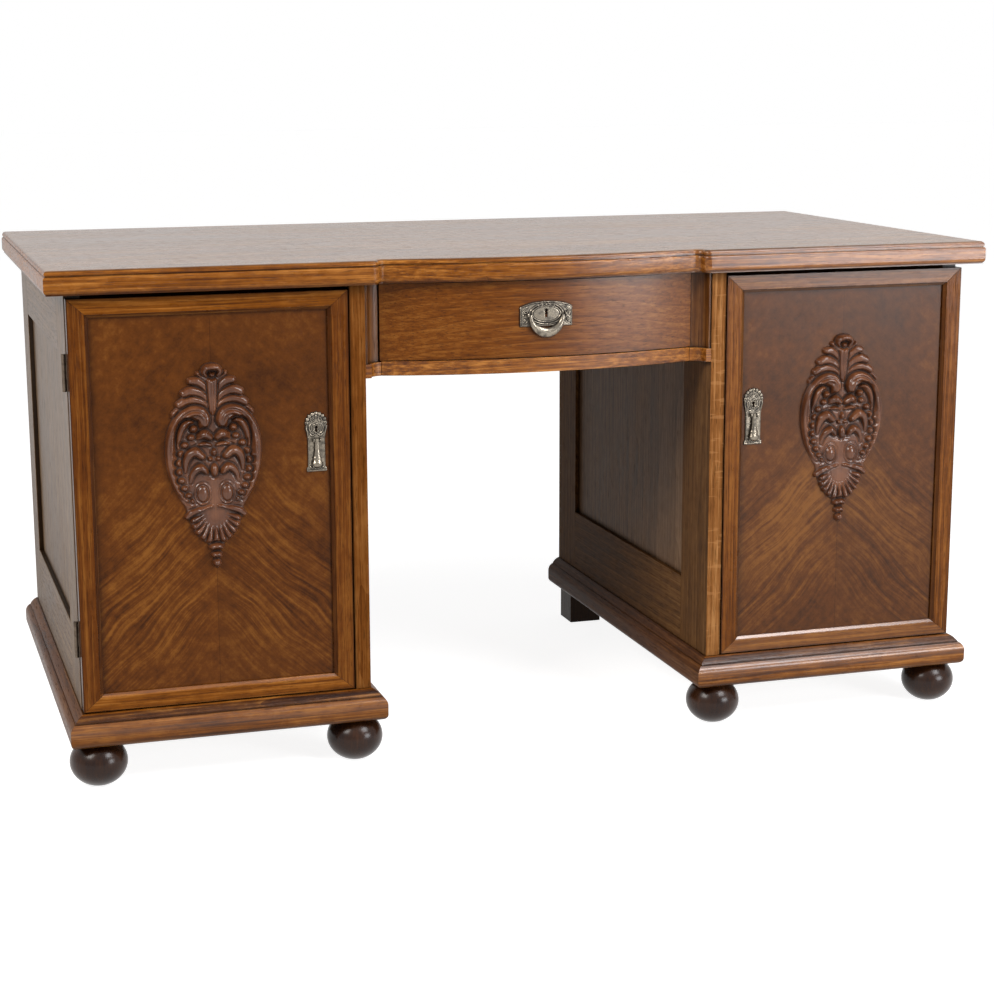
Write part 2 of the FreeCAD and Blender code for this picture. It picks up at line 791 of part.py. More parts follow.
def door_section(width, turn):
    """Across a stile or rail: from its outer edge in, and from the front face back.

    turn is 1 where inwards is the positive direction of the sketch and -1 where it is not.
    """
    bevel = width * door_bevel_share
    panel_back = door_panel_recess + door_panel_thickness
    return [
        (0, 0),
        (turn * (width - bevel), 0),
        (turn * (width - bevel), door_bevel_quirk),
        (turn * width, door_bevel_drop),
        (turn * width, door_panel_recess),
        (turn * (width - door_groove), door_panel_recess),
        (turn * (width - door_groove), panel_back),
        (turn * width, panel_back),
        (turn * width, door_thickness),
        (0, door_thickness),
    ]


def mitred_rail(label, x, z, length, width, up, ends):
    """A rail that runs along X from its outer corner, with both ends cut to the mitre."""
    piece = body(label, x, front, z)
    section = [(v, u) for u, v in door_section(width, up)]
    pad(piece, outline(piece, f"{label}_section", "YZ", section), length)
    over = cut_over / width
    low_run, high_run = ends
    for name, start, run in (("low", as_length(0), low_run), ("high", length, -high_run)):
        corners = [
            (start - run * over, -up * cut_over),
            (start + run + run * over, up * (width + cut_over)),
            (start - run * over, up * (width + cut_over)),
        ]
        waste = outline(piece, f"{label}_{name}_mitre", "XZ", corners)
        pocket(piece, waste, door_thickness + cut_over)
    return piece


def mitred_stile(label, x, z, height, width, inwards, rails):
    """A stile that runs up from its outer corner, with both ends cut to the mitre."""
    piece = body(label, x, front, z)
    section = door_section(width, inwards)
    pad(piece, outline(piece, f"{label}_section", "XY", section), height)
    over = cut_over / width
    low_run, high_run = rails
    for name, start, run in (("low", as_length(0), low_run), ("high", height, -high_run)):
        corners = [
            (-inwards * cut_over, start - run * over),
            (inwards * (width + cut_over), start - run * over),
            (inwards * (width + cut_over), start + run + run * over),
        ]
        waste = outline(piece, f"{label}_{name}_mitre", "XZ", corners)
        pocket(piece, waste, door_thickness + cut_over)
    return piece


door_hinge_edge = outer_face - door_hinge_inset
door_lock_edge = inner_inside + door_lock_gap
door_width = door_hinge_edge - door_lock_edge
door_height = door_high - door_low
door_mid = (door_lock_edge + door_hinge_edge) / 2
carving_bottom = door_low + (door_height - carving_height) * carving_rise_share
lock_x = door_lock_edge + lock_backset
lock_ends = (door_lock_edge, lock_x + lock_margin)
lock_rise = (lock_centre - lock_height / 2, lock_centre + lock_height / 2)



def keyhole_cutter(name, x, z, y_ends):
    """A round hole with a slot under it that runs down to the height z."""
    slot_half = keyhole_radius / 2
    low_y, high_y = y_ends
    bore = rod(f"{name}_round", keyhole_radius, high_y - low_y, x, low_y, z + keyhole_drop, "y")
    slot = board(f"{name}_slot", (x - slot_half, x + slot_half), y_ends, (z, z + keyhole_drop))
    return fuse(name, bore, slot)


cabinet_leaves = []
for hand, side in (("left", -1), ("right", 1)):
    low_edge = sorted((side * door_hinge_edge, side * door_lock_edge), key=lambda e: e.value)[0]
    members = group(
        f"{hand}_door_members",
        mitred_stile(f"{hand}_door_hinge_stile", side * door_hinge_edge, door_low, door_height,
                     door_stile, -side, (door_bottom_rail, door_top_rail)),
        mitred_stile(f"{hand}_door_lock_stile", side * door_lock_edge, door_low, door_height,
                     door_stile, side, (door_bottom_rail, door_top_rail)),
        mitred_rail(f"{hand}_door_bottom_rail", low_edge, door_low, door_width,
                    door_bottom_rail, 1, (door_stile, door_stile)),
        mitred_rail(f"{hand}_door_top_rail", low_edge, door_high, door_width,
                    door_top_rail, -1, (door_stile, door_stile)),
    )
    leaf_seats = [
        board(
            f"{hand}_leaf_seat_{number}",
            (side * (outer_face + cut_over), side * (outer_face - leaf_width)),
            (front + door_thickness - leaf_sink, front + door_thickness + cut_over),
            (low_end, low_end + hinge_length),
        )
        for number, low_end in enumerate(hinge_low_ends, 1)
    ]
    lock_seat = board(f"{hand}_lock_seat", (side * lock_ends[0] - side * cut_over,
                                           side * lock_ends[1]),
                      (lock_face, front + door_thickness + cut_over), lock_rise)
    keep(cut(f"{hand}_door_frame", members, *leaf_seats, lock_seat))

    reach = door_groove - fit_gap
    panel = board(
        f"{hand}_door_panel_blank",
        (side * (door_lock_edge + door_stile - reach), side * (door_hinge_edge - door_stile + reach)),
        (panel_face, panel_face + door_panel_thickness),
        (door_low + door_bottom_rail - reach, door_high - door_top_rail + reach),
    )
    key_way = keyhole_cutter(f"{hand}_panel_keyhole", side * lock_x, lock_centre,
                             (panel_face - cut_over, lock_face + cut_over))
    keep(cut(f"{hand}_door_panel", panel, key_way))

    # Butt hinges: the pin and two knuckles stay with the pedestal, one knuckle with the door
    door_leaves = []
    axis_x = side * (outer_face + hinge_offset)
    leaf_back = hinge_y + leaf_play / 2
    leaf_front = hinge_y - leaf_play / 2
    middle = hinge_length * knuckle_share
    for number, low_end in enumerate(hinge_low_ends, 1):
        name = f"{hand}_hinge_{number}"
        tip = side * (outer_face - leaf_width)
        root_x = side * (outer_face + hinge_offset - knuckle_radius - leaf_play)
        lower = (low_end, low_end + (hinge_length - middle) / 2 - leaf_play)
        upper = (low_end + (hinge_length + middle) / 2 + leaf_play, low_end + hinge_length)
        centre = (low_end + (hinge_length - middle) / 2, low_end + (hinge_length + middle) / 2)
        whole = (low_end, low_end + hinge_length)
        shells = [
            rod(f"{name}_{which}_knuckle", knuckle_radius, rise[1] - rise[0],
                axis_x, hinge_y, rise[0], "z")
            for which, rise in (("lower", lower), ("upper", upper))
        ]
        webs = [
            board(f"{name}_{which}_web", (axis_x, root_x),
                  (leaf_back, leaf_back + leaf_thickness), rise)
            for which, rise in (("lower", lower), ("upper", upper))
        ]
        plate = board(f"{name}_cabinet_plate", (root_x, tip),
                      (leaf_back, leaf_back + leaf_thickness), whole)
        pin = rod(f"{name}_pin", hinge_pin_radius, hinge_length, axis_x, hinge_y, low_end, "z")
        cabinet_leaves.append(fuse(f"{name}_cabinet_leaf", plate, *webs, *shells, pin))
        knuckle = rod(f"{name}_door_knuckle", knuckle_radius, middle,
                      axis_x, hinge_y, centre[0], "z")
        web = board(f"{name}_door_web", (axis_x, root_x),
                    (leaf_front - leaf_thickness, leaf_front), centre)
        door_plate = board(f"{name}_door_plate", (root_x, tip),
                           (leaf_front - leaf_thickness, leaf_front), whole)
        bore = rod(f"{name}_bore", hinge_pin_radius + hinge_pin_play, hinge_length,
                   axis_x, hinge_y, low_end, "z")
        leaf = fuse(f"{name}_door_leaf_blank", door_plate, web, knuckle)
        door_leaves.append(cut(f"{name}_door_leaf", leaf, bore))
    keep(group(f"{hand}_door_hinge_leaves", *door_leaves))

    # Box lock behind the door, its bolt drawn back
    bolt_ends = (door_lock_edge + bolt_play, door_lock_edge + bolt_play + bolt_length)
    bolt_faces = (strike_y - bolt_thickness / 2, strike_y + bolt_thickness / 2)
    case = board(f"{hand}_lock_case", (side * lock_ends[0], side * lock_ends[1]),
                 (lock_face, lock_face + lock_thickness), lock_rise)
    channel = board(
        f"{hand}_lock_channel",
        (side * (door_lock_edge - cut_over), side * (bolt_ends[1] + bolt_play)),
        (bolt_faces[0] - bolt_play, bolt_faces[1] + bolt_play),
        (bolt_low - bolt_play, bolt_low + bolt_height + bolt_play),
    )
    keep(cut(f"{hand}_door_lock", case, channel))
    keep(board(f"{hand}_door_bolt", (side * bolt_ends[0], side * bolt_ends[1]), bolt_faces,
               (bolt_low, bolt_low + bolt_height)))

    # Handle plate with an arched top, two ears and a pin, and the drop that hangs on it
    plate_x = side * lock_x
    plate = body(f"{hand}_handle_plate_blank", plate_x, panel_face, plate_bottom)
    half = plate_width / 2
    arch_share = 0.3
    arch = plate_height - plate_width * arch_share
    waist_share = 0.12
    waist = half * (1 - waist_share)
    shoulder_share = 0.45
    shoulder = plate_height * shoulder_share
    pad(plate, outline(plate, f"{hand}_plate_outline", "XZ", [
        (-half, 0),
        (half, 0),
        (waist, shoulder, -arc_radius(shoulder / 2, half - waist)),
        (half, arch, arc_radius(shoulder / 2, half - waist) * 2),
        (-half, arch, arc_radius(half, plate_height - arch)),
        (-waist, shoulder, arc_radius(shoulder / 2, half - waist) * 2),
        (-half, 0, -arc_radius(shoulder / 2, half - waist)),
    ][1:]), plate_thickness)
    eye_y = panel_face - plate_thickness - drop_eye_radius - ear_play
    ear_inner = drop_top_width / 2 + ear_play
    ears = []
    for which, way in (("low", -1), ("high", 1)):
        ear_x = plate_x + way * (ear_inner + ear_thickness / 2) - ear_thickness / 2
        ears.append(rod(f"{hand}_{which}_ear", drop_eye_radius, ear_thickness,
                        ear_x, eye_y, drop_axis_height, "x"))
        ears.append(board(f"{hand}_{which}_ear_stem", (ear_x, ear_x + ear_thickness),
                          (eye_y, panel_face - plate_thickness),
                          (drop_axis_height - drop_eye_radius, drop_axis_height + drop_eye_radius)))
    pin = rod(f"{hand}_drop_pin", drop_pin_radius, 2 * (ear_inner + ear_thickness),
              plate_x - ear_inner - ear_thickness, eye_y, drop_axis_height, "x")
    keyhole = keyhole_cutter(f"{hand}_plate_keyhole", plate_x, lock_centre,
                             (panel_face - plate_thickness - cut_over, panel_face + cut_over))
    keep(cut(f"{hand}_handle_plate", fuse(f"{hand}_plate_and_ears", plate, *ears, pin), keyhole))

    drop = body(f"{hand}_drop_blank", plate_x, eye_y + drop_thickness / 2, drop_axis_height)
    foot = drop_bottom_width / 2
    neck = drop_top_width / 2
    swell_share = 0.8
    swell = foot * swell_share
    clear = drop_eye_radius + ear_play
    pad(drop, outline(drop, f"{hand}_drop_outline", "XZ", [
        (neck, -clear),
        (neck, 0),
        (-neck, 0),
        (-neck, -clear),
        (-foot, swell - drop_length),
        (foot, swell - drop_length, arc_radius(foot, swell)),
    ]), drop_thickness)
    eye = rod(f"{hand}_drop_eye", drop_eye_radius, drop_top_width,
              plate_x - neck, eye_y, drop_axis_height, "x")
    bore = rod(f"{hand}_drop_bore", drop_pin_radius + pin_play, drop_top_width + 2 * cut_over,
               plate_x - neck - cut_over, eye_y, drop_axis_height, "x")
    keep(cut(f"{hand}_drop_handle", fuse(f"{hand}_drop_whole", drop, eye), bore))

    # Carved cartouche: crown, oval rim, fan and drop, glued on the panel
    carving = body(f"{hand}_carving_ground", side * door_mid, panel_face, carving_bottom)
    half_shares = ((0.07, 0.0), (0.10, 0.10), (0.52, 0.19), (0.50, 0.25), (0.36, 0.29),
                   (0.62, 0.36), (0.97, 0.52), (1.0, 0.60), (0.90, 0.72), (0.66, 0.82),
                   (0.52, 0.90), (0.24, 0.965), (0.12, 1.0))
    right = [(carving_width / 2 * across, carving_height * up) for across, up in half_shares]
    left = [(-across, up) for across, up in reversed(right)]
    pad(carving, outline(carving, f"{hand}_carving_outline", "XZ", right + left), carving_ground)
    rim_shares = ((0.30, 0.36), (0.92, 0.54), (0.30, 0.80))
    rim_right = [(carving_width / 2 * across, carving_height * up) for across, up in rim_shares]
    bow = arc_radius((rim_right[2][1] - rim_right[0][1]) / 2, rim_right[1][0])
    rim = outline(carving, f"{hand}_carving_rim", "XZ", [
        rim_right[0],
        (rim_right[1][0], rim_right[1][1], bow),
        (rim_right[2][0], rim_right[2][1], bow),
        (-rim_right[2][0], rim_right[2][1]),
        (-rim_right[1][0], rim_right[1][1], bow),
        (-rim_right[0][0], rim_right[0][1], bow),
    ])
    pad(carving, rim, carving_rim)
    boss_share = 0.965
    boss = ring(carving, f"{hand}_carving_boss", "XZ", 0, carving_height * boss_share,
                carving_boss)
    pad(carving, boss, carving_rim)
    carving.Label = f"{hand}_door_carving"
    keep(carving)


keep(group("cabinet_hinge_leaves", *cabinet_leaves))


# Drawer case: quarter-round posts on base blocks, a bowed rail, runners, kickers and apron
posts = []
post_blocks = []
case_depth = front + rail_back
rail_top = rail_bottom + rail_height
block_top = rail_bottom + post_block_height
for hand, side in (("left", -1), ("right", 1)):
    post = body(f"{hand}_post", side * inner_face, front, block_top)
    flat = post_width - post_round
    pad(post, outline(post, f"{hand}_post_plan", "XY", [
        (0, post_setback),
        (-side * flat, post_setback),
        (-side * post_width, post_setback + post_round, side * post_round),
        (-side * post_width, rail_back),
        (0, rail_back),
    ]), carcass_top - block_top)
    posts.append(post)
    block = body(f"{hand}_post_block", side * inner_face, front, rail_bottom)
    pad(block, outline(block, f"{hand}_block_plan", "XY", [
        (0, 0),
        (-side * (post_block_width - rail_end_setback), 0),
        (-side * post_block_width, rail_end_setback, side * rail_end_setback),
        (-side * post_block_width, rail_back),
        (0, rail_back),
    ]), post_block_height)
    post_blocks.append(block)
keep(group("corner_posts", *posts))
keep(group("post_base_blocks", *post_blocks))

rail = body("drawer_rail", 0, front, rail_bottom)
pad(rail, outline(rail, "rail_plan", "XY", [
    (-rail_half, rail_back),
    (-rail_half, rail_end_setback),
    (rail_half, rail_end_setback, arc_radius(rail_half, rail_bow)),
    (rail_half, rail_back),
]), rail_height)
keep(rail)

drawer_half = inner_face - post_width - drawer_play * 3 / 2
side_half = drawer_half - drawer_side_play / 2
runners = []
kickers = []
for hand, side in (("left", -1), ("right", 1)):
    runner = body(f"{hand}_runner", side * inner_face, case_depth, rail_bottom)
    guide = inner_face - side_half - drawer_play
    pad(runner, outline(runner, f"{hand}_runner_section", "XZ", [
        (0, 0),
        (-side * runner_width, 0),
        (-side * runner_width, rail_height),
        (-side * guide, rail_height),
        (-side * guide, rail_height + guide_height),
        (0, rail_height + guide_height),
    ]), rear - apron_thickness - case_depth, backwards=True)
    runners.append(runner)
    kickers.append(board(f"{hand}_kicker", (side * inner_face, side * (inner_face - runner_width)),
                         (case_depth, rear - apron_thickness),
                         (carcass_top - kicker_height, carcass_top)))
keep(group("drawer_runners", *runners))
keep(group("drawer_kickers", *kickers))
keep(board("rear_apron", (-inner_face, inner_face), (rear - apron_thickness, rear),
           (rail_bottom, carcass_top)))

# Drawer: a bowed front, two sides, a back and a thin bottom in grooves
drawer_low = rail_top + fit_gap
drawer_front_low = rail_top + drawer_play
drawer_high = carcass_top - 2 * drawer_play
bow_radius = arc_radius(drawer_half, drawer_bow)
back_end = drawer_end_setback + drawer_front_thickness
drawer_top = drawer_low + drawer_side_height
front_blank = body("drawer_front_blank", 0, front, drawer_front_low)
drawer_front_plan = [
    (-drawer_half, back_end),
    (-drawer_half, drawer_end_setback),
    (drawer_half, drawer_end_setback, bow_radius),
    (drawer_half, back_end),
]
pad(front_blank, outline(front_blank, "drawer_front_plan", "XY", drawer_front_plan),
    drawer_high - drawer_front_low)
bow_cut = body("drawer_front_hollow", 0, front, drawer_low)
hollow_half = side_half - drawer_side_thickness
hollow_bow = arc_radius(hollow_half, drawer_bow)
pad(bow_cut, outline(bow_cut, "drawer_hollow_plan", "XY", [
    (-hollow_half, back_end + cut_over),
    (-hollow_half, back_end),
    (hollow_half, back_end, hollow_bow),
    (hollow_half, back_end + cut_over),
]), drawer_high - drawer_low)
drawer_lock_rise = (drawer_high - drawer_lock_height, drawer_high)
drawer_lock_faces = (drawer_lock_y - drawer_lock_depth, drawer_lock_y + fit_gap)
drawer_lock_seat = board("drawer_lock_seat", (-drawer_lock_width / 2, drawer_lock_width / 2),
                         (drawer_lock_faces[0], drawer_lock_y + cut_over),
                         (drawer_lock_rise[0], drawer_high + cut_over))
floor_low = drawer_low + drawer_bottom_lift
floor_high = floor_low + drawer_bottom_thickness
drawer_rear = rear - apron_thickness - drawer_rear_gap
side_ends = (front + back_end, drawer_rear)
floor_half = hollow_half + drawer_groove

drawer_floor = body("drawer_bottom", 0, front, floor_low)
pad(drawer_floor, outline(drawer_floor, "drawer_bottom_plan", "XY", [
    (-floor_half + fit_gap, drawer_rear - front),
    (-floor_half + fit_gap, back_end),
    (-hollow_half + fit_gap, back_end),
    (hollow_half - fit_gap, back_end, hollow_bow),
    (floor_half - fit_gap, back_end),
    (floor_half - fit_gap, drawer_rear - front),
]), drawer_bottom_thickness)

bail_face = front + drawer_end_setback - drawer_bow
drawer_key_way = keyhole_cutter("drawer_front_keyhole", 0, bail_axis_height,
                                (bail_face - cut_over, drawer_lock_faces[0] + cut_over))
keep(cut("drawer_front", front_blank, bow_cut, drawer_lock_seat, drawer_key_way))
side_boards = group("drawer_side_boards", *[
    board(f"drawer_{hand}_side", (side * side_half, side * hollow_half), side_ends,
          (drawer_low, drawer_top))
    for hand, side in (("left", -1), ("right", 1))
])
side_groove = board("drawer_side_groove", (-floor_half, floor_half),
                    (side_ends[0] - cut_over, drawer_rear + cut_over), (floor_low, floor_high))
keep(cut("drawer_sides", side_boards, side_groove))
keep(board("drawer_back", (-hollow_half, hollow_half),
           (drawer_rear - drawer_side_thickness, drawer_rear), (floor_high, drawer_top)))
keep(drawer_floor)

drawer_case = board("drawer_lock_case", (-drawer_lock_width / 2, drawer_lock_width / 2),
                    drawer_lock_faces, drawer_lock_rise)
drawer_bolt_faces = (drawer_bolt_y - bolt_thickness / 2, drawer_bolt_y + bolt_thickness / 2)
drawer_bolt_rise = (drawer_high - drawer_bolt_length, drawer_high)
drawer_channel = board(
    "drawer_lock_channel",
    (-drawer_bolt_width / 2 - bolt_play, drawer_bolt_width / 2 + bolt_play),
    (drawer_bolt_faces[0] - bolt_play, drawer_bolt_faces[1] + bolt_play),
    (drawer_bolt_rise[0] - bolt_play, drawer_high + cut_over),
)
keep(cut("drawer_lock", drawer_case, drawer_channel))
keep(board("drawer_bolt", (-drawer_bolt_width / 2, drawer_bolt_width / 2), drawer_bolt_faces,
           drawer_bolt_rise))

# Drawer handle: a shaped plate with two ears, and a crescent bail between them
bail_plate = body("drawer_plate_blank", 0, bail_face + drawer_front_thickness / 4,
                  bail_plate_bottom)
half = bail_plate_width / 2
wing_share = 0.72
arch_share = 0.55
wing = bail_plate_height * wing_share
arch_half = half * arch_share
pad(bail_plate, outline(bail_plate, "drawer_plate_outline", "XZ", [
    (half, 0),
    (half, wing),
    (arch_half, wing),
    (-arch_half, wing, arc_radius(arch_half, bail_plate_height - wing)),
    (-half, wing),
    (-half, 0),
]), drawer_front_thickness / 4 + plate_thickness)
bail_y = bail_face - plate_thickness - ear_play - bail_thickness / 2
bail_outer = arc_radius(bail_half, bail_hang)
ear_x = bail_outer + ear_play
pin_end = bail_half - bail_arm / 2
ears = []
for hand, side in (("left", -1), ("right", 1)):
    start = sorted((side * ear_x, side * (ear_x + ear_thickness)), key=lambda e: e.value)[0]
    ears.append(rod(f"bail_{hand}_ear", drop_eye_radius, ear_thickness,
                    start, bail_y, bail_axis_height, "x"))
    ears.append(board(f"bail_{hand}_stem", (side * ear_x, side * (ear_x + ear_thickness)),
                      (bail_y, bail_face),
                      (bail_axis_height - drop_eye_radius, bail_axis_height + drop_eye_radius)))
    tip = sorted((side * pin_end, side * (ear_x + ear_thickness)), key=lambda e: e.value)[0]
    ears.append(rod(f"bail_{hand}_pin", bail_pin_radius, ear_x + ear_thickness - pin_end,
                    tip, bail_y, bail_axis_height, "x"))
bail_keyhole = keyhole_cutter("bail_plate_keyhole", 0, bail_axis_height,
                              (bail_face - plate_thickness - cut_over, bail_face + cut_over))
plate_whole = fuse("drawer_plate_and_ears", bail_plate, *ears)
front_copy = body("drawer_front_trim", 0, front, drawer_low)
pad(front_copy, outline(front_copy, "drawer_trim_plan", "XY", drawer_front_plan),
    drawer_high - drawer_low)
keep(cut("drawer_handle_plate", plate_whole, front_copy, bail_keyhole))

bail = body("bail_blank", 0, bail_y + bail_thickness / 2, bail_axis_height)
inner_half_width = bail_half - bail_arm
inner_hang = bail_hang - bail_belly
bail_inner = arc_radius(inner_half_width, inner_hang)
pad(bail, outline(bail, "bail_outline", "XZ", [
    (-bail_half, 0),
    (0, -bail_hang, bail_outer),
    (bail_half, 0, bail_outer),
    (inner_half_width, 0),
    (0, -inner_hang, -bail_inner),
    (-inner_half_width, 0, -bail_inner),
]), bail_thickness)
bail_eyes = [
    rod(f"bail_{hand}_eye", bail_thickness / 2, bail_arm, start, bail_y, bail_axis_height, "x")
    for hand, start in (("left", -bail_half), ("right", inner_half_width))
]
bail_bores = [
    rod(f"bail_{hand}_bore", bail_pin_radius + pin_play, bail_arm / 2 + ear_play + cut_over,
        start, bail_y, bail_axis_height, "x")
    for hand, start in (("left", -bail_half - cut_over), ("right", pin_end - ear_play))
]
keep(cut("drawer_bail", fuse("bail_whole", bail, *bail_eyes), *bail_bores))

doc.recompute()

for thing in doc.Objects:
    if "Invalid" in thing.State or "Error" in thing.State:
        raise RuntimeError(f"{thing.Label} failed: {thing.State}")
    if thing.TypeId == "PartDesign::Pocket" and thing.Shape.Volume >= thing.BaseFeature.Shape.Volume:
        raise RuntimeError(f"{thing.Label} cuts nothing")

os.makedirs("parts", exist_ok=True)
for piece in kept:
    if piece.Shape.isNull() or not piece.Shape.isValid():
        raise RuntimeError(f"{piece.Label} has no valid shape")
for piece in kept:
    piece.Shape.exportStep(f"parts/{piece.Label}.step")
print(f"{len(kept)} nodes written")
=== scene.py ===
import json
import math
import bmesh
import bpy
import numpy as np
from mathutils import Matrix, Vector


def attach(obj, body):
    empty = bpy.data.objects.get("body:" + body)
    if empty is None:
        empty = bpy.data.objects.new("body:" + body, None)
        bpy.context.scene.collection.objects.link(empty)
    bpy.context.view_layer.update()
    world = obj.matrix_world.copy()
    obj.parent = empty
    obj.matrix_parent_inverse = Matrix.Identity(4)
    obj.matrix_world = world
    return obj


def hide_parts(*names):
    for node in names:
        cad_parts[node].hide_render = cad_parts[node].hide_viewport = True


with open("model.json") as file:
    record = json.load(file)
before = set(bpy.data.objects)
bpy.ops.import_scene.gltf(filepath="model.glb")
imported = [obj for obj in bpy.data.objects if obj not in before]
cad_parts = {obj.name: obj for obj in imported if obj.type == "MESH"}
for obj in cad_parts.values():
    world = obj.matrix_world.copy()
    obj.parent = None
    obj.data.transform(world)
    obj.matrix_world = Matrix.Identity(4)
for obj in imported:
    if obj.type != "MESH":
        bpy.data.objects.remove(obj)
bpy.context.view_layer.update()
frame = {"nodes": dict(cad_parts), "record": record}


# Studio: a pale floor under a white background, soft lamps to the left, to the right and above,
# and the camera, which looks down on the desk from the left of its middle.

class Signal:
    """A number that varies over a material. Arithmetic on it adds Math nodes."""

    def __init__(self, finish, socket):
        self.finish = finish
        self.socket = socket

    def step(self, operation, *others):
        return self.finish.add("ShaderNodeMath", {"operation": operation},
                               dict(enumerate((self, *others))))

    def __add__(self, other):
        return self.step("ADD", other)

    def __sub__(self, other):
        return self.step("SUBTRACT", other)

    def __rsub__(self, other):
        return self.finish.add("ShaderNodeMath", {"operation": "SUBTRACT"}, {0: other, 1: self})

    def __mul__(self, other):
        return self.step("MULTIPLY", other)

    def __truediv__(self, other):
        return self.step("DIVIDE", other)

    def __abs__(self):
        return self.step("ABSOLUTE")

    __radd__ = __add__
    __rmul__ = __mul__

    def least(self, other):
        return self.step("MINIMUM", other)

    def most(self, other):
        return self.step("MAXIMUM", other)

    def ramp(self, low, high):
        """0 below low, 1 above high, and a smooth rise between them."""
        return self.finish.add("ShaderNodeMapRange", {"interpolation_type": "SMOOTHSTEP"},
                               {"Value": self, "From Min": low, "From Max": high})

    def within(self, low, rise, high, fall):
        """1 between low and high, after a smooth rise and before a smooth fall."""
        return self.ramp(low, low + rise) * (1 - self.ramp(high - fall, high))


class Finish:
    """A material, or the world, put together from nodes."""

    def __init__(self, name, owner=None):
        self.owner = owner or bpy.data.materials.new(name)
        self.owner.use_nodes = True
        self.tree = self.owner.node_tree
        self.tree.nodes.clear()

    def add(self, kind, settings, sockets, output=0):
        """A node with its settings made first, then the values or links of its sockets."""
        node = self.tree.nodes.new(kind)
        for name, value in settings.items():
            if name == "stops":
                ramp = node.color_ramp
                while len(ramp.elements) < len(value):
                    ramp.elements.new(1)
                for element, (place, colour) in zip(ramp.elements, value):
                    element.position = place
                    element.color = (*colour, 1)
            else:
                setattr(node, name, value)
        for name, value in sockets.items():
            if isinstance(value, Signal):
                self.tree.links.new(value.socket, node.inputs[name])
            elif isinstance(value, tuple) and len(node.inputs[name].default_value) == 4:
                node.inputs[name].default_value = (*value, 1)
            else:
                node.inputs[name].default_value = value
        return Signal(self, node.outputs[output]) if node.outputs else None

    def blend(self, share, first, second):
        """Two colours mixed: a Mix node's colour sockets are its seventh and eighth."""
        return self.add("ShaderNodeMix", {"data_type": "RGBA"}, {0: share, 6: first, 7: second}, 2)

    def place(self):
        """Where a point of the piece lies."""
        return self.add("ShaderNodeTexCoord", {}, {}, "Object")

    def part(self, place, axis):
        """One coordinate of a place."""
        return self.add("ShaderNodeSeparateXYZ", {}, {"Vector": place}, axis)

    def stretched(self, place, scale, shift=(0, 0, 0)):
        """A place with each coordinate scaled, then shifted."""
        return self.add("ShaderNodeMapping", {}, {"Vector": place, "Location": shift,
                                                  "Scale": scale})

    def noise(self, place, scale, detail, roughness=0.5):
        """Clouds, about as many in a metre as the scale says."""
        return self.add("ShaderNodeTexNoise", {}, {"Vector": place, "Scale": scale,
                                                   "Detail": detail, "Roughness": roughness})

    def graded(self, tone, stops, colours):
        """The colour of a number, on a scale that has a colour at each stop."""
        return self.add("ShaderNodeValToRGB", {"stops": list(zip(stops, colours))}, {"Fac": tone})

    def hollow(self):
        """How deep a place of a carving lies, as its mesh says."""
        return self.add("ShaderNodeAttribute", {"attribute_name": "hollow"}, {}, "Fac")

    def nooks(self, distance, low, high):
        """1 where other surfaces close off most of what lies within the distance."""
        open_air = self.add("ShaderNodeAmbientOcclusion", {"samples": 4}, {"Distance": distance}, 1)
        return (1 - open_air).ramp(low, high)

    def surface(self, sockets, height, strength, depth):
        """A surface with fine bumps, joined to the output."""
        bump = self.add("ShaderNodeBump", {}, {"Strength": strength, "Distance": depth,
                                               "Height": height})
        return self.close(self.add("ShaderNodeBsdfPrincipled", {}, {**sockets, "Normal": bump}))

    def close(self, shader, output="ShaderNodeOutputMaterial"):
        """Joins the last shader to the output."""
        self.add(output, {}, {"Surface": shader})
        return self.owner

    def seen_directly(self):
        """1 for the rays that show the background: camera, mirror and glass rays."""
        camera_ray, mirror_ray, glass_ray = (
            self.add("ShaderNodeLightPath", {}, {}, name)
            for name in ("Is Camera Ray", "Is Glossy Ray", "Is Transmission Ray"))
        return camera_ray.most(mirror_ray).most(glass_ray)


def link(name, mesh):
    """An object for a mesh, at the origin."""
    piece = bpy.data.objects.new(name, mesh)
    bpy.context.scene.collection.objects.link(piece)
    return piece


ambient = 0.14
air = Finish("studio_air", bpy.data.worlds.new("studio_air"))
air.close(air.add("ShaderNodeBackground", {}, {
    "Color": (1, 1, 1), "Strength": air.seen_directly() * (1 - ambient) + ambient}),
    "ShaderNodeOutputWorld")
bpy.context.scene.world = air.owner

ground = Finish("studio_floor")
ground.close(ground.add("ShaderNodeBsdfPrincipled", {}, {
    "Base Color": (0.50, 0.495, 0.49), "Roughness": 0.9, "Specular IOR Level": 0.1,
    "Emission Color": (1, 1, 1), "Emission Strength": ground.seen_directly() * 0.89}))
floor_mesh = bpy.data.meshes.new("studio_floor")
reach = 30
floor_mesh.from_pydata([(-reach, -reach, 0), (reach, -reach, 0), (reach, reach, 0),
                        (-reach, reach, 0)], [], [(0, 1, 2, 3)])
floor_mesh.materials.append(ground.owner)
link("studio_floor", floor_mesh)


def lamp(name, place, target, size, power, colour):
    """A soft lamp that faces a point."""
    data = bpy.data.lights.new(name, "AREA")
    data.shape = "RECTANGLE"
    data.size, data.size_y = size
    data.energy = power
    data.color = colour
    light = link(name, data)
    light.location = place
    light.rotation_euler = (Vector(target) - Vector(place)).to_track_quat("-Z", "Y").to_euler()


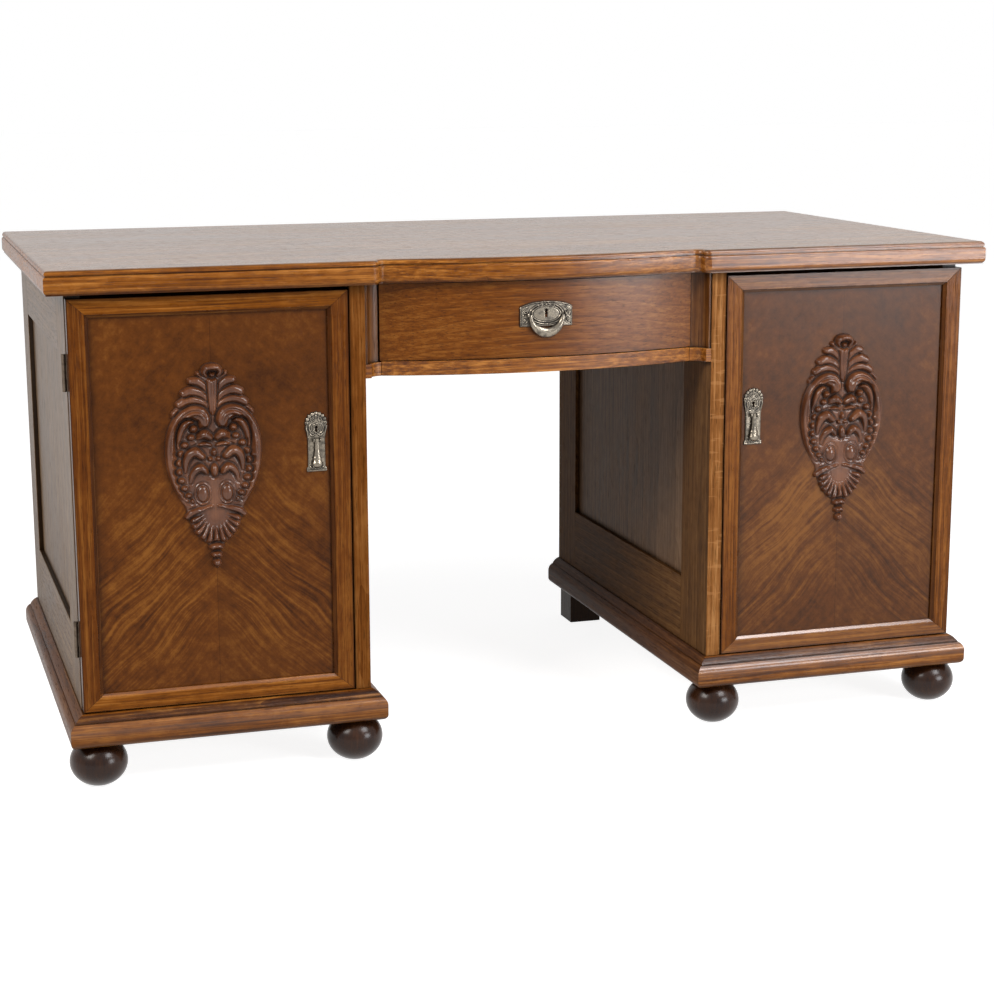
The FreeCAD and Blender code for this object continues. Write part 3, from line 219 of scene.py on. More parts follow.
lamp("window_right", (2.07, -3.05, 0.86), (0.3, -0.35, 0.6), (1.25, 0.95), 60, (0.93, 0.96, 1.0))
lamp("high_right", (1.72, -2.71, 2.91), (0.3, -0.35, 0.6), (1.5, 1.3), 105, (0.98, 0.98, 1.0))
lamp("high_left", (-2.8, -1.8, 2.7), (-0.4, -0.35, 0.4), (1.6, 1.4), 116, (1.0, 0.97, 0.93))
lamp("ceiling_right", (1.5, -0.75, 2.4), (0.5, -0.36, 0.1), (1.0, 0.8), 15, (0.96, 0.98, 1.0))

lens = bpy.data.cameras.new("camera")
lens.lens = 75.40
lens.sensor_width = 36
camera = link("camera", lens)
turned, tilted, rolled = 0.3034, 0.2061, -0.0034    # radians: to the right, down, about the view
camera.matrix_world = (Matrix.Translation((-1.02147, -3.37635, 1.06794))
                       @ Matrix.Rotation(-turned, 4, "Z")
                       @ Matrix.Rotation(math.pi / 2 - tilted, 4, "X")
                       @ Matrix.Rotation(rolled, 4, "Z"))
bpy.context.scene.camera = camera
bpy.context.scene.view_settings.view_transform = "Standard"


# Plinths: solid oak lengths run through a moulder, mitred at the front corners and glued round
# each pedestal's foot, with a plain board across the back.

def places_of(mesh):
    """The places of a mesh's vertices, a row for each."""
    places = np.empty(len(mesh.vertices) * 3)
    mesh.vertices.foreach_get("co", places)
    return places.reshape(-1, 3)


def span(node):
    """The lowest and the highest corner of a node, to a hundredth of a millimetre."""
    places = places_of(frame["nodes"][node].data)
    return places.min(0).round(5).tolist(), places.max(0).round(5).tolist()


def toned(colour, strength):
    """A colour made darker, or paler where the strength is over 1."""
    return tuple(part * strength for part in colour)


def oak(name, along, tones, rough=0.30, index=1.30, rays=None, figure=1.0, shift=(0.3, 0.2, 0.1),
        turned_where=None, elsewhere=None, polish=None, joints_and_shade=None):
    """Stained oak with its grain along one axis.

    Growth rings are a saw wave round a far-off pith, bent by noise that is stretched along the
    grain; streaks, fibres and pores are finer stretched noise. figure is the strength of the
    whole pattern.
    turned_where gives another axis and a mask: where it is 1, the grain runs along that axis.
    elsewhere gives a mask and other tones. The masks rays and polish say where there are short
    pale flecks and a coat of varnish, and the last mask where there are dark joints and painted
    shade. Corners and gaps get painted shade, with some grime.
    """
    finish = Finish(name)
    spot = finish.place()
    parts = {axis: finish.part(spot, axis) for axis in "XYZ"}
    if turned_where:
        other, mask = turned_where
        swapped = finish.add("ShaderNodeCombineXYZ", {}, {
            **parts, along: parts[other], other: parts[along]})
        spot = finish.add("ShaderNodeMix", {"data_type": "VECTOR"},
                          {0: mask(parts), 4: spot, 5: swapped}, 1)

    def grain(across, lengthways):
        scale = tuple(lengthways if axis == along else across for axis in "XYZ")
        return finish.stretched(spot, scale, shift)

    def noise(across, lengthways, detail, roughness=0.55):
        return finish.noise(grain(across, lengthways), 1.0, detail, roughness)

    rings = finish.add("ShaderNodeTexWave", {
        "wave_type": "RINGS", "rings_direction": along, "wave_profile": "SAW"}, {
        "Vector": grain(1, 0.14), "Scale": 30.0, "Distortion": 14.0, "Detail": 3.0,
        "Detail Scale": 0.22, "Detail Roughness": 0.6})
    blotch = noise(9, 3.5, 3)
    streak = noise(230, 2.6, 3)
    fibre = noise(430, 11, 2, 0.5)
    mottle = noise(60, 32, 3, 0.6)
    pores = noise(800, 42, 1).ramp(0.58, 0.70)
    strengths = ((rings, 0.16), (streak, 0.5), (fibre, 0.5), (mottle, 0.35), (blotch, 0.4))
    tone = sum((pattern - 0.5) * strength for pattern, strength in strengths) * figure + 0.5
    stops = (0.24, 0.50, 0.76)
    colour = finish.graded(tone, stops, tones)
    if elsewhere:
        mask, others = elsewhere
        colour = finish.blend(mask(parts), colour, finish.graded(tone, stops, others))
    colour = finish.blend(pores * 0.5, colour, toned(tones[0], 0.4))
    # Painted shade, with some grime: darker in corners, gaps and between parts, where other surfaces
    # stand close
    corner_shade_and_grime = finish.nooks(0.012, 0.12, 0.55) * 0.85
    colour = finish.blend(corner_shade_and_grime, colour, toned(tones[0], 0.15))
    # Dark joints and painted shade, where the last mask says
    if joints_and_shade:
        colour = finish.blend(joints_and_shade(parts) * 0.7, colour, toned(tones[0], 0.3))
    if rays:
        fleck = noise(30, 170, 1).ramp(0.60, 0.66) * rays(parts) * 0.3
        colour = finish.blend(fleck, colour, toned(tones[2], 1.9))
    gloss = {"Roughness": blotch * 0.12 + mottle * 0.08 + pores * 0.2 + (rough - 0.10)}
    if polish:
        gloss.update({"Coat Weight": polish(parts), "Coat Roughness": rough - 0.06})
    return finish.surface({"Base Color": colour, "IOR": index, **gloss},
                          fibre * 0.4 - pores, 0.3, 0.0005)


body_of = {name: body for body, names in frame["record"]["behaviour"]["bodies"].items()
           for name in names}


def settle(piece, node):
    """The piece stands for its node and moves with the node's body."""
    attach(piece, body_of[node])
    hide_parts(node)


def welded(mesh):
    """A bmesh of a node's solids, each with its corners joined but apart from the others.

    Two boards of a frame share corners and faces where they touch. Round an edge, the next face
    of the same board is the first one reached through the wood.
    """
    corners = [tuple(round(part, 5) for part in vertex.co) for vertex in mesh.vertices]
    outlines, faces_at = {}, {}
    for face in mesh.polygons:
        ring = [corners[index] for index in face.vertices]
        if len(set(ring)) == len(ring):
            outlines[face.index] = list(zip(ring, ring[1:] + ring[:1]))
            for side in outlines[face.index]:
                faces_at.setdefault(side, []).append(face.index)

    def next_face(index, start, end):
        along = (Vector(end) - Vector(start)).normalized()
        outward = mesh.polygons[index].normal

        def turn(other):
            into = along.cross(mesh.polygons[other].normal)
            angle = math.atan2(-into.dot(outward), into.dot(outward.cross(along)))
            return (angle - math.radians(1)) % math.tau

        return min(faces_at[end, start], key=turn)

    solid = bmesh.new()
    left = set(outlines)
    while left:
        board, reached, made = set(), [min(left)], {}
        while reached:
            index = reached.pop()
            if index not in board:
                board.add(index)
                reached += [next_face(index, *side) for side in outlines[index]]
        left -= board
        for index in sorted(board):
            ring = [side[0] for side in outlines[index]]
            for place in ring:
                if place not in made:
                    made[place] = solid.verts.new(place)
            solid.faces.new([made[place] for place in ring])
    solid.normal_update()
    return solid


def shaded(mesh, sharp):
    """Shades a mesh smoothly across all but the sharp edges."""
    mesh.polygons.foreach_set("use_smooth", np.ones(len(mesh.polygons), bool))
    mesh.set_sharp_from_angle(angle=math.radians(sharp))


def softened(node, material, arris=0.0005):
    """A copy of a node's solid with its sharp arrises eased, which then stands for the node."""
    corner, flat = 24, 0.6    # degrees: an arris turns by more, and one face bends by less
    mesh = frame["nodes"][node].data.copy()
    mesh.materials.clear()
    mesh.materials.append(material)
    solid = welded(mesh)
    bmesh.ops.dissolve_limit(solid, angle_limit=math.radians(flat), verts=solid.verts,
                             edges=solid.edges)
    solid.to_mesh(mesh)
    solid.free()
    mesh.polygons.foreach_set("material_index", np.zeros(len(mesh.polygons), int))
    shaded(mesh, corner)
    piece = link(f"{node}_finished", mesh)
    bevel = piece.modifiers.new("eased_arris", "BEVEL")
    bevel.width = arris
    bevel.segments = 2
    bevel.limit_method = "ANGLE"
    bevel.angle_limit = math.radians(corner)
    piece.modifiers.new("even_shading", "WEIGHTED_NORMAL").keep_sharp = True
    settle(piece, node)


warm = ((0.066, 0.017, 0.002), (0.180, 0.055, 0.005), (0.342, 0.133, 0.024))
deep = ((0.037, 0.011, 0.002), (0.094, 0.031, 0.006), (0.175, 0.070, 0.018))
plinth_bottom, plinth_top = (corner[2] for corner in span("left_plinth_front"))
quirk = plinth_top - 0.0117    # the groove between the slope and the bead


def plinth_slope(parts):
    """1 on the hollow slope above the plinth's bead."""
    return parts["Z"].within(quirk - 0.0005, 0.0008, plinth_top - 0.0012, 0.0006)


def plinth_bead(parts):
    """Polish that hands and feet have left on the upper part of the bead."""
    return parts["Z"].within(plinth_bottom + 0.013, 0.014, quirk - 0.0001, 0.0004) * 0.55


def plinth_shade(parts):
    """Painted shade in the quirk over the bead, and on the bead's lower half, which turns down from
    the light.
    """
    groove = 1 - abs(parts["Z"] - quirk).ramp(0.0003, 0.0013)
    return groove.most((plinth_bottom + 0.015 - parts["Z"]).ramp(0, 0.014) * 0.6)


plinth_tones = ((0.052, 0.014, 0.001), (0.142, 0.043, 0.004), (0.270, 0.105, 0.019))
slope_tones = ((0.016, 0.004, 0.001), (0.060, 0.018, 0.003), (0.210, 0.086, 0.020))
plinth_oak = oak("plinth_oak", "X", plinth_tones, 0.28, 1.28, figure=1.3, polish=plinth_bead,
                 joints_and_shade=plinth_shade, elsewhere=(plinth_slope, slope_tones))
plinth_side_oak = oak("plinth_side_oak", "Y", deep, index=1.08)
for hand in ("left", "right"):
    softened(f"{hand}_plinth_front", plinth_oak, 0.0003)
    softened(f"{hand}_plinth_sides", plinth_side_oak, 0.0003)
softened("plinth_backs", plinth_oak)


# Feet: four turned balls in front, stained almost black and polished, and plain square blocks
# behind, all glued and screwed up into the blocks in the plinth's corners.

def even_out(mesh, sharp=35):
    """Points all faces outwards and shades them."""
    solid = bmesh.new()
    solid.from_mesh(mesh)
    bmesh.ops.recalc_face_normals(solid, faces=solid.faces)
    solid.to_mesh(mesh)
    solid.free()
    shaded(mesh, sharp)


def skin(name, grid, material):
    """A closed mesh from a grid of points: rows of points run round the shape.

    Neighbouring rows are joined by quads, and the first and last rows are closed by a face each.
    """
    rows, columns = grid.shape[:2]
    row, column = np.meshgrid(np.arange(rows - 1), np.arange(columns), indexing="ij")
    following = (column + 1) % columns
    quads = np.stack([row * columns + column, row * columns + following,
                      (row + 1) * columns + following, (row + 1) * columns + column], -1)
    ends = [list(range(columns))[::-1], list(range((rows - 1) * columns, rows * columns))]
    mesh = bpy.data.meshes.new(name)
    mesh.from_pydata(grid.reshape(-1, 3).tolist(), [], quads.reshape(-1, 4).tolist() + ends)
    mesh.materials.append(material)
    even_out(mesh)
    return mesh


def joined(name, meshes):
    """One object from several meshes of one material."""
    solid = bmesh.new()
    for mesh in meshes:
        solid.from_mesh(mesh)
    solid.to_mesh(meshes[0])
    solid.free()
    return link(name, meshes[0])


def dark_polish(name, tones, rough, index):
    """Almost black stain under polish: soft clouds of tone, a little streaky upwards."""
    finish = Finish(name)
    spot = finish.place()
    streak = finish.noise(finish.stretched(spot, (260, 260, 34)), 1.0, 3.0)
    cloud = finish.noise(spot, 28.0, 3.0)
    colour = finish.graded(cloud * 0.6 + streak * 0.4, (0.3, 0.52, 0.75), tones)
    return finish.surface({"Base Color": colour, "Roughness": cloud * 0.14 + (rough - 0.07),
                           "IOR": index}, streak, 0.2, 0.0004)


ball_tones = ((0.008, 0.002, 0.001), (0.022, 0.007, 0.002), (0.048, 0.017, 0.007))
foot_stain = dark_polish("foot_stain", ball_tones, 0.25, 1.32)
ball_radius, ball_half_height, ball_middle = 0.0435, 0.0378, 0.0371
ball_columns = (-0.700, -0.303, 0.303, 0.700)
ball_line = sum(corner[1] for corner in span("ball_feet")) / 2


def turned_ball(x):
    """A ball turned on a lathe: circles about its upright axis, as wide as the cosine of their
    slant and as high as its sine, from the floor to the plinth."""
    slant = np.linspace(math.asin(-ball_middle / ball_half_height),
                        math.asin((plinth_bottom - ball_middle) / ball_half_height), 44)
    angle = np.linspace(0, 2 * math.pi, 72, endpoint=False)
    grid = np.empty((len(slant), len(angle), 3))
    grid[..., 0] = x + ball_radius * np.outer(np.cos(slant), np.cos(angle))
    grid[..., 1] = ball_line + ball_radius * np.outer(np.cos(slant), np.sin(angle))
    grid[..., 2] = ball_middle + ball_half_height * np.sin(slant)[:, None]
    return skin("ball_foot", grid, foot_stain)


settle(joined("ball_feet_turned", [turned_ball(x) for x in ball_columns]), "ball_feet")
block_tones = ((0.010, 0.004, 0.002), (0.024, 0.010, 0.004), (0.046, 0.022, 0.009))
softened("block_feet", oak("foot_block_oak", "Z", block_tones, 0.45, 1.20), 0.001)


# Pedestal sides: oak stiles and rails, tenoned together, hold a thin oak panel in a groove. The
# outer ones show the polish, the inner ones face the sitter's legs and stay dark.

tongue = 0.0077    # how far a panel runs into its groove
(board_back, _, _), (board_face, _, _) = span("right_outer_side_frame")
(_, side_front, _), (cupboard_face, _, _) = span("right_inner_side_frame")


def rails_beside(panel):
    """1 on the rails of a panel's frame, which lie between its stiles."""
    (_, front, _), (_, rear, _) = span(panel)
    soft = 0.0004
    low, high = front + tongue - soft / 2, rear - tongue + soft / 2
    return lambda parts: parts["Y"].within(low, soft, high, soft)


def front_edge(parts):
    """1 on the front edge of an inner side, beside the door."""
    return 1 - (parts["Y"] - (side_front + 0.0007)).ramp(-0.0003, 0.0003)


def shadow_strip(parts):
    """The dark strip beside the door, on the front edge of an inner side."""
    return (abs(parts["X"]) - (cupboard_face - 0.0035)).ramp(0, 0.0035) * front_edge(parts)


def less_worn(parts):
    """Polish that is left on the upper half of the outer sides."""
    return (parts["Z"] - 0.15).ramp(0, 0.5) * 0.3


def recess_shade(parts):
    """Painted shade on the narrow walls round an outer side's panel."""
    low, high = board_back + 0.0025, board_face - 0.0008
    return abs(parts["X"]).within(low, 0.0010, high, 0.0008) * 1.3


outer_tones = ((0.042, 0.020, 0.008), (0.098, 0.053, 0.023), (0.190, 0.115, 0.056))
outer_frame_oak = oak("outer_side_oak", "Z", outer_tones, 0.40, 1.12, polish=less_worn,
                      joints_and_shade=recess_shade,
                      turned_where=("Y", rails_beside("left_outer_side_panel")))
outer_panel_oak = oak("outer_panel_oak", "Z", outer_tones, 0.40, 1.12, polish=less_worn,
                      figure=1.2)
inner_tones = ((0.040, 0.017, 0.005), (0.112, 0.050, 0.016), (0.195, 0.096, 0.036))
# The inner panels are painted paler and greyer than their frames: painted sheen
inner_panel_tones = ((0.064, 0.033, 0.015), (0.148, 0.082, 0.042), (0.232, 0.140, 0.079))
inner_panel_oak = oak("inner_panel_oak", "Z", inner_panel_tones, 0.45, 1.12)
# The front edges are of one oak: the right one is painted paler, as painted light, and the left one
# darker, as painted shade
for hand, index, flecked, edge_tones_lit_and_shaded in (
        ("left", 1.06, None,
         ((0.056, 0.015, 0.002), (0.127, 0.040, 0.007), (0.216, 0.086, 0.021))),
        ("right", 1.08, front_edge,
         ((0.083, 0.028, 0.007), (0.195, 0.075, 0.020), (0.335, 0.160, 0.056)))):
    inner_frame_oak = oak(f"{hand}_inner_side_oak", "Z", inner_tones, 0.50, index, rays=flecked,
                          turned_where=("Y", rails_beside("left_inner_side_panel")),
                          elsewhere=(front_edge, edge_tones_lit_and_shaded), joints_and_shade=shadow_strip)
    softened(f"{hand}_outer_side_frame", outer_frame_oak)
    softened(f"{hand}_outer_side_panel", outer_panel_oak)
    softened(f"{hand}_inner_side_frame", inner_frame_oak)
    softened(f"{hand}_inner_side_panel", inner_panel_oak)


# Backs and insides: framed oak backs, and plain pale boards where only an open door shows them,
# glued, dowelled or let into grooves.

back_oak = oak("back_oak", "Z", deep, 0.40, 1.2)
plain_tones = ((0.230, 0.130, 0.062), (0.350, 0.220, 0.115), (0.460, 0.315, 0.180))
plain = {axis: oak(f"plain_oak_{axis.lower()}", axis, plain_tones, 0.50, 1.3) for axis in "XYZ"}
for hand in ("left", "right"):
    softened(f"{hand}_back_frame", back_oak)
    softened(f"{hand}_back_panel", back_oak)
    softened(f"{hand}_bottom_board", plain["X"])
    softened(f"{hand}_shelf", plain["X"], 0.001)
softened("rear_apron", plain["X"])
# The top rails are painted almost black, as painted shade in the gap under the slab
shaded_tones = ((0.010, 0.003, 0.001), (0.022, 0.008, 0.003), (0.050, 0.020, 0.008))
softened("top_rails", oak("top_rail_oak", "X", shaded_tones, 0.6, 1.03))
for node in ("shelf_bearers", "drawer_runners", "drawer_kickers"):
    softened(node, plain["Y"], 0.001)
softened("plinth_corner_blocks", plain["Z"], 0.001)


# Door frames: oak stiles and rails with a bevel worked on their inner edge, mitred at the
# corners. Each door lies over the front edges of its pedestal's sides.

(lock_edge, _, door_low), (hinge_edge, _, door_high) = span("right_door_frame")
stile, top_rail, bottom_rail = 0.031, 0.028, 0.026


def from_the_sides(parts):
    """How far in a place is from the door's sides, in widths of a stile."""
    across = abs(parts["X"])
    return (across - lock_edge).least(hinge_edge - across) / stile


def from_the_ends(parts):
    """How far in a place is from the door's ends, in widths of their rails."""
    return ((parts["Z"] - door_low) / bottom_rail).least((door_high - parts["Z"]) / top_rail)


def past_the_mitre(parts):
    """1 on the rails and 0 on the stiles."""
    return (from_the_sides(parts) - from_the_ends(parts)).ramp(-0.004, 0.004)


def bevel(parts):
    """1 on the bevel round the panel."""
    return from_the_sides(parts).least(from_the_ends(parts)).ramp(0.80, 0.84)


def door_joints_and_shade(parts):
    """Dark joints at the mitres, half a millimetre wide; painted shadow along the outer arris;
    painted shade on the bevel but for its lower run, which faces up to the light.
    """
    sides, ends = from_the_sides(parts), from_the_ends(parts)
    mitre = 1 - abs(sides - ends).ramp(0.006, 0.018)
    arris = (0.10 - sides.least(ends)).ramp(0, 0.09) * 0.8
    upwards = (parts["Z"] - (door_low + bottom_rail)).ramp(-0.0005, 0.0015)
    return mitre.most(arris).most(bevel(parts) * upwards * 0.75)


def bright_lower_bevel(parts):
    """Polish on the lower run of the bevel."""
    downwards = (door_low + bottom_rail + 0.0145 - parts["Z"]).ramp(0, 0.01)
    return bevel(parts) * past_the_mitre(parts) * downwards


def polished_rails(parts):
    """Polish on the rails, most on the lower run of the bevel."""
    return bright_lower_bevel(parts).most(past_the_mitre(parts) * 0.3)


# Both doors are of one oak: their tones differ from hand to hand only as painted light and shade
left_stile = ((0.037, 0.009, 0.001), (0.101, 0.028, 0.003), (0.194, 0.069, 0.011))
right_stile = ((0.044, 0.012, 0.001), (0.122, 0.036, 0.004), (0.235, 0.086, 0.014))
right_rail = ((0.046, 0.012, 0.001), (0.126, 0.039, 0.004), (0.240, 0.093, 0.017))
for hand, index, stile_tones, rail_tones, shift, polish in (
        ("left", 1.16, left_stile, warm, (0.3, 0.2, 0.1), bright_lower_bevel),
        ("right", 1.20, right_stile, right_rail, (2.3, 0.2, 1.1), polished_rails)):
    door_oak = oak(f"{hand}_door_oak", "Z", stile_tones, 0.28, index, shift=shift,
                   turned_where=("X", past_the_mitre), elsewhere=(past_the_mitre, rail_tones),
                   polish=polish, joints_and_shade=door_joints_and_shade)
    softened(f"{hand}_door_frame", door_oak, 0.0004)


# Door panels: a thin board veneered with two leaves cut from one crotch and opened like a book,
# so that their stripes run down and out from the joint in the middle.

def middle_of(node):
    """How far to the right the middle of a node lies."""
    return sum(corner[0] for corner in span(node)) / 2


def bookmatched(name, middle, tones, rough, index, shift):
    """Veneer mirrored about a joint.

    Two noises stretched along lines that fall away from the joint make its stripes, which fade
    upwards into a mottle of rounder noise.
    """
    finish = Finish(name)
    spot = finish.place()
    x, z = (finish.part(spot, axis) for axis in "XZ")
    off = x - middle
    across = abs(off)
    flat = finish.add("ShaderNodeCombineXYZ", {}, {"X": across, "Z": z})
    wander = (finish.noise(flat, 6.0, 2.0) - 0.5) * 0.05
    down, out = 0.74, 0.7188    # along a stripe, down * z + out * across stays the same
    through = z * down + across * out + wander + shift
    along = across * down - z * 0.65

    def stripe(over, lengthways, detail):
        place = finish.add("ShaderNodeCombineXYZ", {}, {"X": through * over,
                                                        "Y": along * lengthways, "Z": shift})
        return finish.noise(place, 1.0, detail, 0.6)

    striped = (1 - (z + across * 0.35).ramp(0.36, 0.54)) * (across.ramp(0.0, 0.05) * 0.6 + 0.4)
    striped = striped * ((z + across * 0.7).ramp(0.18, 0.30) * 0.75 + 0.25)
    broad = stripe(46, 2.6, 2.0)
    fine = stripe(190, 8, 3.0)
    mottle = finish.noise(spot, 70.0, 4.0, 0.75)
    cloud = finish.noise(spot, 7.0, 2.0)
    tone = ((broad - 0.5) * 0.7 + (fine - 0.5) * 1.3) * (striped * 0.85 + 0.15)
    tone = tone + (mottle - 0.5) * 0.8 + (cloud - 0.5) * 0.5 - z.ramp(0.35, 0.60) * 0.06 + 0.5
    colour = finish.graded(tone, (0.15, 0.50, 0.85), tones)
    # Painted shade: the panel darkens towards its frame and under its top rail
    soft = 0.014    # the panel darkens over this width towards its frame
    rim = (across - ((hinge_edge - lock_edge) / 2 - stile - soft)).ramp(0, soft)
    rim = rim.most((z - (door_high - top_rail - 0.012)).ramp(0, 0.012))
    joint = 1 - across.ramp(0.0002, 0.0009)
    # Darker: the painted shade by the frame, the dark joint, and the right-hand leaf a little
    darkening = (rim * 0.35).most(joint * 0.45).most(off.ramp(-0.0002, 0.0002) * 0.12)
    colour = finish.blend(darkening, colour, toned(tones[0], 0.45))
    pores = stripe(900, 70, 1.0).ramp(0.60, 0.72)
    return finish.surface({"Base Color": colour, "Roughness": cloud * 0.12 + (rough - 0.06),
                           "IOR": index}, fine * 0.3 - pores, 0.2, 0.0004)


# Both panels are of one veneer: the right one is painted darker, as painted shade that evens out the
# stronger light on the right
left_veneer = ((0.033, 0.009, 0.001), (0.091, 0.026, 0.003), (0.180, 0.064, 0.010))
right_veneer = ((0.027, 0.008, 0.001), (0.074, 0.022, 0.003), (0.146, 0.053, 0.009))
for hand, tones, index, shift in (("left", left_veneer, 1.19, 0.0),
                                  ("right", right_veneer, 1.26, 3.7)):
    panel = f"{hand}_door_panel"
    veneer = bookmatched(f"{hand}_door_veneer", middle_of(panel), tones, 0.32, index, shift)
    softened(panel, veneer)


# Hinges, locks and strikes: pressed and cast steel, darkened with age, screwed into shallow
# seats in the doors, the sides and the drawer front.

def old_steel(name, bright, dark, rough):
    """Aged steel under clouds of tarnish."""
    finish = Finish(name)
    spot = finish.place()
    cloud = finish.noise(spot, 160.0, 5.0, 0.6)
    speck = finish.noise(spot, 900.0, 2.0)
    tarnish = cloud.ramp(0.38, 0.72) * 0.6
    return finish.surface({
        "Base Color": finish.blend(tarnish, bright, dark), "Metallic": 1.0 - tarnish * 0.35,
        "Roughness": tarnish * 0.3 + speck * 0.1 + (rough - 0.05)}, speck + cloud, 0.25, 0.0003)


hinge_steel = old_steel("darkened_steel", (0.13, 0.10, 0.075), (0.035, 0.022, 0.014), 0.45)
lock_steel = old_steel("plain_steel", (0.19, 0.17, 0.15), (0.07, 0.055, 0.04), 0.42)
for node in ("left_door_hinge_leaves", "right_door_hinge_leaves", "cabinet_hinge_leaves"):
    softened(node, hinge_steel, 0.0002)
for node in ("left_door_lock", "right_door_lock", "left_door_bolt", "right_door_bolt",
             "strike_plates", "drawer_lock", "drawer_bolt"):
    softened(node, lock_steel, 0.0003)


# Carvings: a cartouche cut from one oak board, stained dark red-brown and polished, and glued
# on each door panel. It has a palmette, two scrolled leaves, pearls, a shell and a drop.

def smooth_route(points, steps=64):
    """Points along a smooth line through a few points.

    Between two of them the line is the cubic whose slope at each is half the way between its
    neighbours.
    """
    points = np.asarray(points, float)
    around = np.vstack([2 * points[0] - points[1], points, 2 * points[-1] - points[-2]])
    place = np.linspace(0, len(points) - 1.0001, steps)
    leg = place.astype(int)
    t = (place - leg)[:, None]
    a, b, c, d = (around[leg + k] for k in range(4))
    return 0.5 * (2 * b + (c - a) * t + (2 * a - 5 * b + 4 * c - d) * t ** 2
                  + (3 * b - a - 3 * c + d) * t ** 3)


mm = 0.001    # the reliefs are worked out in millimetres


